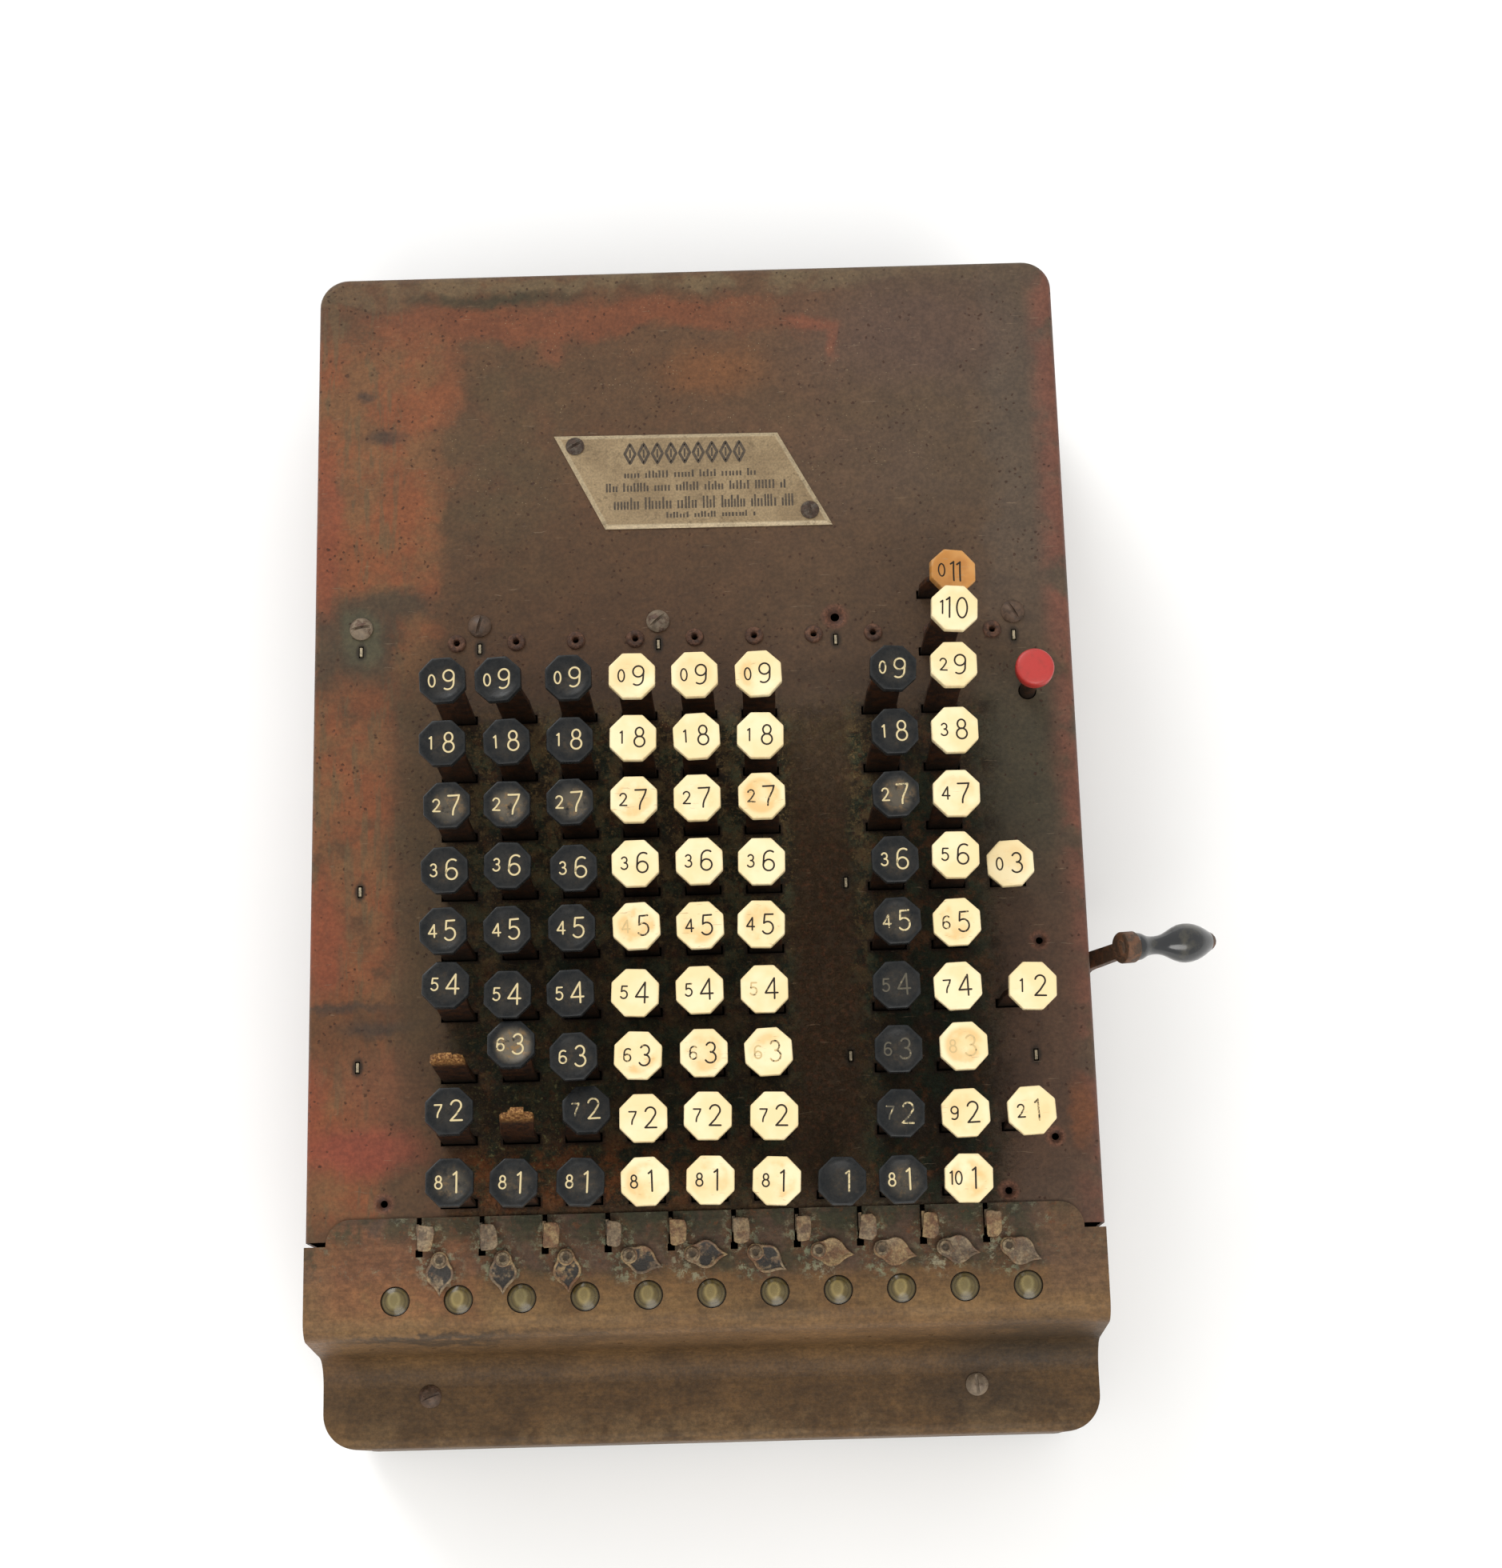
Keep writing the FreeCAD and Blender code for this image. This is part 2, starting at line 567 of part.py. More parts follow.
def rack_edge():
    """Toothed front edge of a lever, from its lowest point up, as (y, z) points."""
    pts = []
    for i in range(2 * RACK_TEETH + 1):
        a = math.radians(RACK_A0 + i * TOOTH_STEP / 2.0)
        r = RACK_R if i % 2 else RACK_R - TOOTH_H
        pts.append((PIVOT_Y - r * math.cos(a), PIVOT_Z + r * math.sin(a)))
    return pts


def column_lever(x):
    """Long lever under one key column with a toothed sector at its front end."""
    rack = rack_edge()
    outline = [(PIVOT_Y, PIVOT_Z - 5.0), (PIVOT_Y, PIVOT_Z + 5.5), (-112.0, 45.0), (-126.0, 50.0),
               (-127.5, rack[-1][1])] + rack[::-1] + [(-126.0, 34.0)]
    vec = [V(x - LEVER_PLATE / 2, y, z) for y, z in outline]
    plate = Part.Face(Part.makePolygon(vec + [vec[0]])).extrude(V(LEVER_PLATE, 0, 0))
    hub = cyl(LEVER_HUB_R, x - 3.0, PIVOT_Y, PIVOT_Z, 6.0, V(1, 0, 0))
    bore = cyl(ROD_R + RUN_GAP, x - 4.0, PIVOT_Y, PIVOT_Z, 8.0, V(1, 0, 0))
    return loose_solids(plate.fuse(hub).cut(bore))


save("column_levers", [column_lever(col_x(col) + KEY_DX) for col in range(1, 11)])

# ---- keys ------------------------------------------------------------------
# Two pound keys have lost their caps and show the bare stems.
LOST_CAPS = ((1, 3), (2, 2))
for row in range(1, 10):
    solids = []
    for col in range(1, 7):
        solids += key(col, row, row % 2 == 1, capped=(col, row) not in LOST_CAPS)
    save("pound_keys_%d" % row, solids)
for row in range(1, 10):
    save("shilling_key_%d" % row, key(8, row, row % 2 == 1))
save("ten_shilling_key", key(7, 1, True))
# The eleven-pence and three-farthing keys stand low.
LOW_PENCE_TOP = 23.0
LOW_FARTHING_TOP = 30.0
for row in range(1, 12):
    low = TOP + LOW_PENCE_TOP if row == 11 else None
    save("pence_key_%d" % row, key(9, row, row % 2 == 1, top=low))
for figure, row in FARTHING_ROWS.items():
    low = TOP + LOW_FARTHING_TOP if figure == 3 else None
    save("farthing_key_%d" % figure, key(10, row, figure % 2 == 1, top=low))

button_top = TOP + BUTTON_TOP
button = turned((BUTTON_STEM_R, -5.0), [[(BUTTON_R - 0.6, -5.0)], [(BUTTON_R, -4.4)],
                                        [(BUTTON_R, -1.2)], [(BUTTON_R - 0.35, -0.45),
                                                             (BUTTON_R - 1.2, -0.15)],
                                        [(0, 0)], [(0, -3.0)], [(BUTTON_STEM_R, -3.0)]],
                BUTTON_X, BUTTON_Y, button_top)
button_stem = cyl(BUTTON_STEM_R, BUTTON_X, BUTTON_Y, STEM_FOOT_Z, button_top - 3.0 - STEM_FOOT_Z)
save("release_button", [button, button_stem])

# ---- cut-off tabs ----------------------------------------------------------
tabs = []
for col in range(1, 11):
    x = col_x(col) + SLOT_DX
    blade = box(x - 0.5, x + 0.5, TAB_Y - BLADE_L / 2 + 2.0, TAB_Y + BLADE_L / 2 + 2.0,
                TOP - 8.0, TOP + TAB_Z + TAB_T)
    thumb = rounded_plan(x - 0.5, x - 0.5 + TAB_W, TAB_Y - TAB_L / 2, TAB_Y + TAB_L / 2, 1.6,
                         {"fr", "rr"})
    thumb.translate(V(0, 0, TOP + TAB_Z))
    tabs.append(loose_solids(thumb.extrude(V(0, 0, TAB_T)).fuse(blade).removeSplitter()))
save("cutoff_tabs", tabs)


# ---- decimal pointers ------------------------------------------------------
def pointer(x, angle):
    """Spade-shaped pointer aimed at -Y, then swung by angle towards +X."""
    def p(px, py):
        return V(px, py, 0)
    head = Part.Arc(p(-2.0, 1.66), p(0, 2.6), p(2.0, 1.66)).toShape()
    spade = [Part.Arc(p(2.0, 1.66), p(3.3, -1.0), p(4.3, -3.8)).toShape(),
             Part.Arc(p(4.3, -3.8), p(3.6, -6.2), p(1.7, -8.0)).toShape(),
             Part.Arc(p(1.7, -8.0), p(0.75, -9.2), p(0, -10.8)).toShape(),
             Part.Arc(p(0, -10.8), p(-0.75, -9.2), p(-1.7, -8.0)).toShape(),
             Part.Arc(p(-1.7, -8.0), p(-3.6, -6.2), p(-4.3, -3.8)).toShape(),
             Part.Arc(p(-4.3, -3.8), p(-3.3, -1.0), p(-2.0, 1.66)).toShape()]
    blank = Part.Face(Part.Wire([head] + spade)).extrude(V(0, 0, POINTER_T))
    blank = blank.cut(cyl(POINTER_NECK_R + RUN_GAP, 0, 0, -1, 3))
    blank.rotate(V(0, 0, 0), V(0, 0, 1), angle)
    blank.translate(V(x, RIVET_Y, TOP + POINTER_Z))
    return loose_solids(blank)


for col in range(1, 11):
    save("decimal_pointer_%d" % col, [pointer(col_x(col) + RIVET_DX, POINTER_ANGLES[col - 1])])

# ---- zeroing lever ---------------------------------------------------------
def along_grip(piece, distance):
    """Turns a piece made along Z into the line of the grip, distance from the boss's face."""
    piece.translate(V(0, 0, distance))
    piece.rotate(V(0, 0, 0), V(0, 1, 0), 90.0 + GRIP_DROP)
    piece.rotate(V(0, 0, 0), V(0, 0, 1), GRIP_YAW)
    piece.translate(V(*BOSS_AT))
    return piece


shaft = cyl(LEVER_SHAFT_R, FRAME_X - 5.0, LEVER_Y, LEVER_Z, LEVER_X0 - FRAME_X + 5.0, V(1, 0, 0))
hub = cyl(LEVER_HUB, LEVER_X0, LEVER_Y, LEVER_Z, LEVER_T, V(1, 0, 0))
boss_mid_x = BOSS_AT[0] + BOSS_L / 2
boss_mid_z = BOSS_AT[2] - BOSS_L / 2 * math.tan(math.radians(GRIP_DROP))
arm_line = [(LEVER_X0, LEVER_Z), (LEVER_X0, BEND_Z), (boss_mid_x - LEVER_T / 2, boss_mid_z),
            (boss_mid_x + LEVER_T / 2, boss_mid_z), (LEVER_X0 + LEVER_T, BEND_Z),
            (LEVER_X0 + LEVER_T, LEVER_Z)]
arm_pts = [V(x, LEVER_Y - LEVER_W / 2, z) for x, z in arm_line]
arm = Part.Face(Part.makePolygon(arm_pts + [arm_pts[0]])).extrude(V(0, LEVER_W, 0))
boss = along_grip(cyl(BOSS_R, 0, 0, 0, BOSS_L), 0.0)
save("zero_lever", [loose_solids(arm.fuse(hub).fuse(boss).removeSplitter()), shaft])

grip = turned((0, 0), [[(4.3, 0)], [(4.35, 1.0), (4.2, 2.2)],
                       [(3.15, 4.6), (2.85, 8.0), (3.6, 11.5), (5.4, 15.5), (6.2, 19.1),
                        (5.8, 22.6), (4.4, 26.0), (3.1, GRIP_L)], [(0, GRIP_L)]], 0, 0, 0)
end_cap = turned((0, 0), [[(2.6, 0)], [(2.6, GRIP_CAP_L * 0.3)],
                          dome(2.6, GRIP_CAP_L * 0.3, GRIP_CAP_L)], 0, 0, 0)
save("lever_grip", [along_grip(grip, BOSS_L), along_grip(end_cap, BOSS_L + GRIP_L)])
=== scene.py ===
import math
import random

import bmesh
import bpy
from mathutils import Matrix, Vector


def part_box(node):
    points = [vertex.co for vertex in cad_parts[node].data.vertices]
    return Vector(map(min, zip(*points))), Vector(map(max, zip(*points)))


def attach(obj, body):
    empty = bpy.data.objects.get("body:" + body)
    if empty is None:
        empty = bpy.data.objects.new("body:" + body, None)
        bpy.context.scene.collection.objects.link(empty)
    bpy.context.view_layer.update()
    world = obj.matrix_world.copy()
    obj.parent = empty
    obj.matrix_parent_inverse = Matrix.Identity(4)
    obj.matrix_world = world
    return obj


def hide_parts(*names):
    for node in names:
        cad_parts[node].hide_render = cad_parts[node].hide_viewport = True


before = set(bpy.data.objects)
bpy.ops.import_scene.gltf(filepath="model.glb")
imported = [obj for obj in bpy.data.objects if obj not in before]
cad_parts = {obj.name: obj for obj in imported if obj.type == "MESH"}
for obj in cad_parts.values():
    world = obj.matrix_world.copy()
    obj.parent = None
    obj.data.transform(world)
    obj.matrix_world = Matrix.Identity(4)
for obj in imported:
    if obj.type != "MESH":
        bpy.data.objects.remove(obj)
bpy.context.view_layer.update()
random.seed(11)

MM = 0.001
PITCH = 19.05              # key pitch, both ways
COL_X0 = 10.3              # X halfway between columns 5 and 6
CASE_TOP = 102.0
CAP_AF = 14.0
CAP_T = 3.5
DISH_R = 6.1
DISH_DEPTH = 0.8
STEM_W = 10.2
STEM_T = 1.7
NECK_W = 4.0
SHOULDER_GAP = 2.6
STEM_FOOT = 58.0
WINDOW_Y = -146.2
WINDOW_DX = 0.9
WHEEL_Z = 92.0
WHEEL_R = 8.8
SLOT_DX = -11.0
TAB_Y = -128.0
RIVET_DX = -4.6
RIVET_Y = -134.5
POINTER_ANGLES = (0, 0, 4, 70, 88, 59, 82, 77, 80, 66)
KEY_DX = 1.0
ROW9_Y = 34.9
TOP_SCREW_Y = 66.4
LOST_SCREW = (45.9, 66.4)
RUSTY_HOLES = ((105.9, -40.9), (107.6, -101.8), (92.6, -117.8), (-97.3, -116.9))
PINS = ((-106.1, 58.7), (-68.1, 58.7), (-10.9, 58.7), (45.9, 58.7), (102.9, 58.7), (-105.6, -19.8),
        (-105.8, -75.1), (46.4, -20.9), (46.0, -75.5), (103.0, -76.6))


def col_x(col):
    return COL_X0 + (col - 5.5) * PITCH


def key_xy(col, row):
    return col_x(col) + KEY_DX, ROW9_Y - (9 - row) * PITCH


# ---------------------------------------------------------------- materials
class Graph:
    """A procedural material under construction, with its coordinates in millimetres."""

    def __init__(self, name):
        self.mat = bpy.data.materials.new(name)
        self.mat.use_nodes = True
        self.tree = self.mat.node_tree
        self.tree.nodes.clear()
        out = self.tree.nodes.new("ShaderNodeOutputMaterial")
        self.shader = self.tree.nodes.new("ShaderNodeBsdfPrincipled")
        self.tree.links.new(self.shader.outputs[0], out.inputs["Surface"])
        coord = self.tree.nodes.new("ShaderNodeTexCoord").outputs["Object"]
        self.place = self.vec("SCALE", coord, scale=1000.0)

    def put(self, socket, value):
        if isinstance(value, bpy.types.NodeSocket):
            self.tree.links.new(value, socket)
        elif isinstance(value, tuple) and len(value) == 3 and len(socket.default_value) == 4:
            socket.default_value = value + (1.0,)
        else:
            socket.default_value = value

    def set(self, **values):
        """Sets sockets of the shader; underscores stand for spaces."""
        for key, value in values.items():
            self.put(self.shader.inputs[key.replace("_", " ")], value)
        return self

    def node(self, kind, inputs, **settings):
        """A new node, with its settings, and its inputs by name or number."""
        node = self.tree.nodes.new("ShaderNode" + kind)
        for key, value in settings.items():
            setattr(node, key, value)
        for key, value in inputs.items():
            self.put(node.inputs[key], value)
        return node

    def vec(self, operation, a, b=None, scale=None):
        inputs = {0: a}
        if scale is not None:
            inputs["Scale"] = scale
        elif b is not None:
            inputs[1] = b
        node = self.node("VectorMath", inputs, operation=operation)
        return node.outputs["Value" if operation == "LENGTH" else "Vector"]

    def math(self, operation, a, b):
        return self.node("Math", {0: a, 1: b}, operation=operation).outputs[0]

    def axis(self, vector, index):
        return self.node("SeparateXYZ", {0: vector}).outputs[index]

    def ramp(self, value, low, high, to_low=0, to_high=1):
        inputs = {"Value": value, "From Min": low, "From Max": high, "To Min": to_low, "To Max": to_high}
        return self.node("MapRange", inputs, interpolation_type="SMOOTHSTEP").outputs[0]

    def noise(self, scale, detail=4, rough=0.55, where=None, colour=False):
        where = self.place if where is None else where
        node = self.node("TexNoise", {"Vector": where, "Scale": scale, "Detail": detail, "Roughness": rough})
        return node.outputs["Color" if colour else 0]

    def cells(self, scale, where=None):
        where = self.place if where is None else where
        return self.node("TexVoronoi", {"Vector": where, "Scale": scale}).outputs["Distance"]

    def mix(self, factor, a, b, blend="MIX"):
        """Two colours mixed; 6 and 7 are the node's colour inputs, and 2 is its colour output."""
        inputs = {"Factor": factor, 6: a, 7: b}
        return self.node("Mix", inputs, data_type="RGBA", blend_type=blend).outputs[2]

    def warp(self, amount, scale, where=None):
        """Coordinates pushed about by noise, for ragged edges."""
        here = self.place if where is None else where
        push = self.vec("SUBTRACT", self.noise(scale, 3.0, 0.6, here, True), (0.5, 0.5, 0.5))
        return self.vec("ADD", here, self.vec("SCALE", push, scale=amount))

    def blot(self, where, x, y, rx, ry, soft=0.35):
        """Soft elliptical patch on the XY plane, from 0 outside to 1 inside."""
        local = self.vec("MULTIPLY", self.vec("SUBTRACT", where, (x, y, 0)), (1 / rx, 1 / ry, 0))
        return self.ramp(self.vec("LENGTH", local), 1 + soft, 1 - soft)

    def block(self, where, x, y, rx, ry, soft=0.2):
        """Soft rectangular patch on the XY plane."""
        local = self.vec("MULTIPLY", self.vec("SUBTRACT", where, (x, y, 0)), (1 / rx, 1 / ry, 0))
        local = self.vec("ABSOLUTE", local)
        far = self.math("MAXIMUM", self.axis(local, 0), self.axis(local, 1))
        return self.ramp(far, 1.0 + soft, 1.0 - soft)

    def times(self, *values):
        result = values[0]
        for value in values[1:]:
            result = self.math("MULTIPLY", result, value)
        return result

    def largest(self, *values):
        result = values[0]
        for value in values[1:]:
            result = self.math("MAXIMUM", result, value)
        return result

    def spots(self, scale, low, high, detail=5, rough=0.6, where=None):
        """Noise cut into soft-edged patches."""
        return self.ramp(self.noise(scale, detail, rough, where), low, high)

    def over(self, colour, paint, *masks):
        """Lays paint over a colour where every mask lets it."""
        return self.mix(self.times(*masks), colour, paint)

    def dabs(self, colour, paint, where, amount, soft, places):
        """Lays paint over a colour in soft ellipses, each (x, y, half width, half depth)."""
        for x, y, rx, ry in places:
            colour = self.over(colour, paint, self.blot(where, x, y, rx, ry, soft), amount)
        return colour

    def repeat(self, where, x, y):
        """Position on the plane from the nearest of a row of points a pitch apart, one of them at x."""
        start = self.vec("SUBTRACT", where, (x - PITCH / 2, 0, 0))
        cell = self.vec("FRACTION", self.vec("MULTIPLY", start, (1 / PITCH, 0, 0)))
        off = self.vec("MULTIPLY", self.vec("SUBTRACT", cell, (0.5, 0, 0)), (PITCH, 0, 0))
        level = self.vec("MULTIPLY", self.vec("SUBTRACT", where, (0, y, 0)), (0, 1, 0))
        return self.vec("ADD", off, level)

    def finish(self, colour, texture, smoothest, roughest, **others):
        """Sets the colour, and a roughness that a texture varies between two values."""
        rough = self.ramp(texture, 0.3, 0.7, smoothest, roughest)
        return self.set(Base_Color=colour, Roughness=rough, **others)

    def bump(self, height, strength, distance=0.0004):
        node = self.node("Bump", {"Strength": strength, "Distance": distance, "Height": height})
        return self.set(Normal=node.outputs[0])

    def data(self, name, out="Fac"):
        return self.node("Attribute", {}, attribute_name=name).outputs[out]


def mottled(g, colour, scale, low, high):
    """Breaks a colour up with noise that multiplies it by low to high."""
    tone = g.ramp(g.noise(scale, 5, 0.65), 0.36, 0.64)
    factor = g.mix(tone, (low, low, low), (high, high * 0.985, high * 0.96))
    return g.mix(1, colour, factor, "MULTIPLY")


def case_side(g):
    """Colour of the case's walls: the oxide of the top, worn to copper most of all on the left."""
    x = g.axis(g.place, 0)
    z = g.axis(g.place, 2)
    patch = g.noise(0.022, 6, 0.65, g.warp(16, 0.05))
    colour = g.mix(g.ramp(patch, 0.40, 0.60), (0.100, 0.054, 0.030), (0.066, 0.044, 0.028))
    worn = g.noise(0.024, 6, 0.7, g.warp(20, 0.03, g.vec("ADD", g.place, (40, 70, 20))))
    left = g.times(g.ramp(x, -96, -116), g.ramp(worn, 0.38, 0.54), 0.85)
    rubbed = g.times(g.ramp(worn, 0.53, 0.66), 0.55)
    colour = g.mix(g.math("MAXIMUM", left, rubbed), colour, (0.185, 0.066, 0.031))
    stain = g.times(g.spots(0.05, 0.56, 0.68, 6, 0.7), 0.6)
    colour = g.mix(stain, colour, (0.050, 0.044, 0.028))
    low = g.times(g.ramp(z, 18, 3), g.spots(0.07, 0.38, 0.56))
    return g.mix(g.times(low, 0.6), colour, (0.036, 0.028, 0.020))


def top_oxide(g, where, near, smear, x, y):
    """The case top from its back edge to the keyboard: brown oxide with patches rubbed to copper."""
    colour = g.mix(g.ramp(x, -60, 110), (0.092, 0.050, 0.027), (0.082, 0.058, 0.041))
    colour = g.over(colour, (0.112, 0.062, 0.034), g.ramp(y, 70, 150), g.ramp(x, 80, 10), 0.6)
    colour = g.over(colour, (0.076, 0.052, 0.030), g.ramp(smear, 0.42, 0.60), 0.4)
    colour = g.over(colour, (0.078, 0.045, 0.024), g.block(where, 6, 72, 102, 30, 0.4), 0.5)
    olive = g.times(g.blot(where, -62, 128, 20, 40, 0.7), g.spots(0.06, 0.34, 0.56, 5, 0.55))
    colour = g.over(colour, (0.074, 0.060, 0.033), olive, 0.45)
    colour = g.dabs(colour, (0.165, 0.072, 0.030), near, 0.7, 0.7, [(8, 153, 15, 8)])
    red = g.times(g.block(where, -44, 172, 70, 6.5, 0.5), g.ramp(smear, 0.30, 0.50))
    colour = g.over(colour, (0.165, 0.060, 0.030), red, 0.85)
    colour = g.dabs(colour, (0.20, 0.068, 0.036), near, 0.8, 0.7, [(41, 168, 8, 2.4)])
    colour = g.dabs(colour, (0.20, 0.068, 0.036), near, 0.7, 0.7, [(48, 162, 1.8, 6)])
    colour = g.dabs(colour, (0.19, 0.066, 0.034), near, 0.5, 0.7, [(-44, 161, 4, 5)])
    rear = g.times(g.block(where, -20, 185, 96, 3, 0.6), g.spots(0.07, 0.36, 0.54))
    colour = g.over(colour, (0.140, 0.110, 0.066), rear, 0.75)
    colour = g.dabs(colour, (0.040, 0.040, 0.024), near, 0.8, 0.8, [(-62, 180, 26, 2.2)])
    colour = g.over(colour, (0.086, 0.070, 0.056), g.block(where, 110, 128, 13, 56, 0.5), 0.55)
    return g.dabs(colour, (0.090, 0.056, 0.047), where, 0.5, 0.7, [(74, 165, 32, 16)])


def left_copper(g, colour, where, near, smear, x):
    """Bare copper down the left of the top, streaked, with red patches and dark marks."""
    copper = g.mix(g.spots(0.06, 0.40, 0.60, 5, 0.65), (0.205, 0.075, 0.034), (0.172, 0.088, 0.042))
    upper = g.times(g.block(where, -109, 106, 28, 62, 0.2), g.ramp(smear, 0.28, 0.44))
    lower = g.times(g.block(near, -110, -15, 14, 66, 0.3), g.spots(0.07, 0.30, 0.48))
    bare = g.largest(upper, lower, g.block(near, -112, -100, 13, 24, 0.4))
    colour = g.over(colour, copper, bare, 0.9)
    drips = g.spots(0.35, 0.51, 0.62, 4, 0.6, g.vec("MULTIPLY", g.place, (1, 0.16, 1)))
    colour = g.over(colour, (0.110, 0.082, 0.046), drips, g.ramp(x, -88, -98), 0.6)
    red = ((-118, 96, 5, 30), (-117, -36, 6, 20), (-120, -90, 4, 18))
    colour = g.dabs(colour, (0.205, 0.062, 0.033), near, 0.8, 0.5, red)
    colour = g.dabs(colour, (0.215, 0.058, 0.038), near, 0.9, 0.45, [(-103, -101, 17, 8)])
    colour = g.dabs(colour, (0.092, 0.046, 0.022), near, 0.75, 0.6, [(-110, -64, 15, 11)])
    colour = g.dabs(colour, (0.17, 0.070, 0.040), near, 0.5, 0.6, [(-98, -82, 14, 12)])
    halo = g.largest(g.blot(near, -99, 74, 17, 6, 0.5), g.block(near, -117, 60, 4, 13, 0.5),
                     g.blot(near, -106, 63, 12, 15, 0.35))
    colour = g.over(colour, (0.052, 0.044, 0.030), halo, 0.85)
    colour = g.dabs(colour, (0.075, 0.080, 0.052), near, 0.7, 0.25, [(-106.1, TOP_SCREW_Y - 3, 6.5, 9)])
    marks = ((-99, 132, 6, 2.4), (-106, 147, 2.6, 2.2), (-112, -57, 15, 1.5), (-100, -63, 9, 1.8))
    return g.dabs(colour, (0.045, 0.036, 0.030), near, 0.75, 0.8, marks)


def key_ground(g, near, middle, scab, x, y):
    """Ground among the keys: grime with rust, moss and pale crusts, browner in the empty column, on a
    near-black base that is partly painted shade under the caps.
    """
    green = g.noise(0.12, 6, 0.65)
    open_side = g.ramp(x, 64, 48, 0.25, 1)
    # Near-black base: partly real grime, partly painted shade from the caps overhead.
    ground = g.mix(g.ramp(green, 0.45, 0.58), (0.0170, 0.0110, 0.0050), (0.0080, 0.0145, 0.0070))
    ground = g.over(ground, (0.066, 0.026, 0.009), g.spots(0.20, 0.52, 0.62, 6, 0.75), 0.8)
    leafy = g.times(g.spots(0.16, 0.46, 0.56, 6, 0.8, g.warp(3, 0.2)), g.ramp(y, -80, 10, 0.4, 1))
    litter = g.mix(g.ramp(green, 0.44, 0.56), (0.085, 0.060, 0.028), (0.055, 0.062, 0.034))
    ground = g.over(ground, litter, leafy, open_side)
    ground = g.over(ground, (0.170, 0.125, 0.060), scab, g.ramp(y, -70, 20, 0.30, 0.95), open_side)
    ground = g.over(ground, (0.110, 0.080, 0.036), g.spots(1.8, 0.57, 0.66, 5, 0.8), open_side, 0.7)
    fleck = g.times(g.ramp(g.cells(0.95), 0.20, 0.10), g.spots(0.25, 0.48, 0.58, 4, 0.7), open_side)
    ground = g.over(ground, (0.240, 0.180, 0.085), fleck, g.ramp(y, -90, 20, 0.4, 0.9))
    strip = g.mix(g.spots(0.5, 0.50, 0.62, 6, 0.75), (0.036, 0.021, 0.009), (0.070, 0.030, 0.013))
    strip = g.mix(g.ramp(y, -20, 40), strip, (0.062, 0.040, 0.021))
    ground = g.over(ground, strip, middle, 0.95)
    low = g.times(g.block(near, -50, -110, 46, 9, 0.6), g.spots(0.13, 0.44, 0.56, 6, 0.75))
    ground = g.mix(low, ground, (0.125, 0.046, 0.014))
    moss = g.times(g.blot(near, -55, -94, 30, 20, 0.7), g.spots(0.55, 0.56, 0.64, 6, 0.8))
    return g.mix(moss, ground, (0.150, 0.150, 0.070))


def torn_slots(g):
    """Mask of the torn edges round the stem slots, which repeat on the key grid."""
    start = (col_x(1) + KEY_DX - PITCH / 2, ROW9_Y - PITCH / 2, 0)
    cell = g.vec("FRACTION", g.vec("SCALE", g.vec("SUBTRACT", g.warp(1.6, 0.7), start), scale=1 / PITCH))
    cell = g.vec("ABSOLUTE", g.vec("SUBTRACT", cell, (0.5, 0.5, 0)))
    across = g.math("SUBTRACT", g.axis(cell, 0), 0.29)
    along = g.math("SUBTRACT", g.axis(cell, 1), 0.07)
    return g.ramp(g.largest(across, along), 0.07, 0.02)


def hole_stains(g, colour):
    """Rust round the empty holes, and a dark patch round each pin's slot."""
    scabs = g.mix(g.spots(1.2, 0.4, 0.6, 5, 0.7), (0.085, 0.040, 0.026), (0.150, 0.072, 0.046))
    for px, py in RUSTY_HOLES + (LOST_SCREW,):
        wide = 4.1 if (px, py) == LOST_SCREW else 3.1
        colour = g.over(colour, scabs, g.blot(g.warp(0.8, 1.2), px, py, wide, wide, 0.25), 0.95)
        core = g.blot(g.warp(0.5, 1.2), px, py, wide * 0.6, wide * 0.6, 0.3)
        colour = g.over(colour, (0.040, 0.018, 0.012), core, 0.8)
    pins = [(px, py, 1.7, 2.9) for px, py in PINS]
    return g.dabs(colour, (0.018, 0.014, 0.009), g.place, 0.9, 0.4, pins)


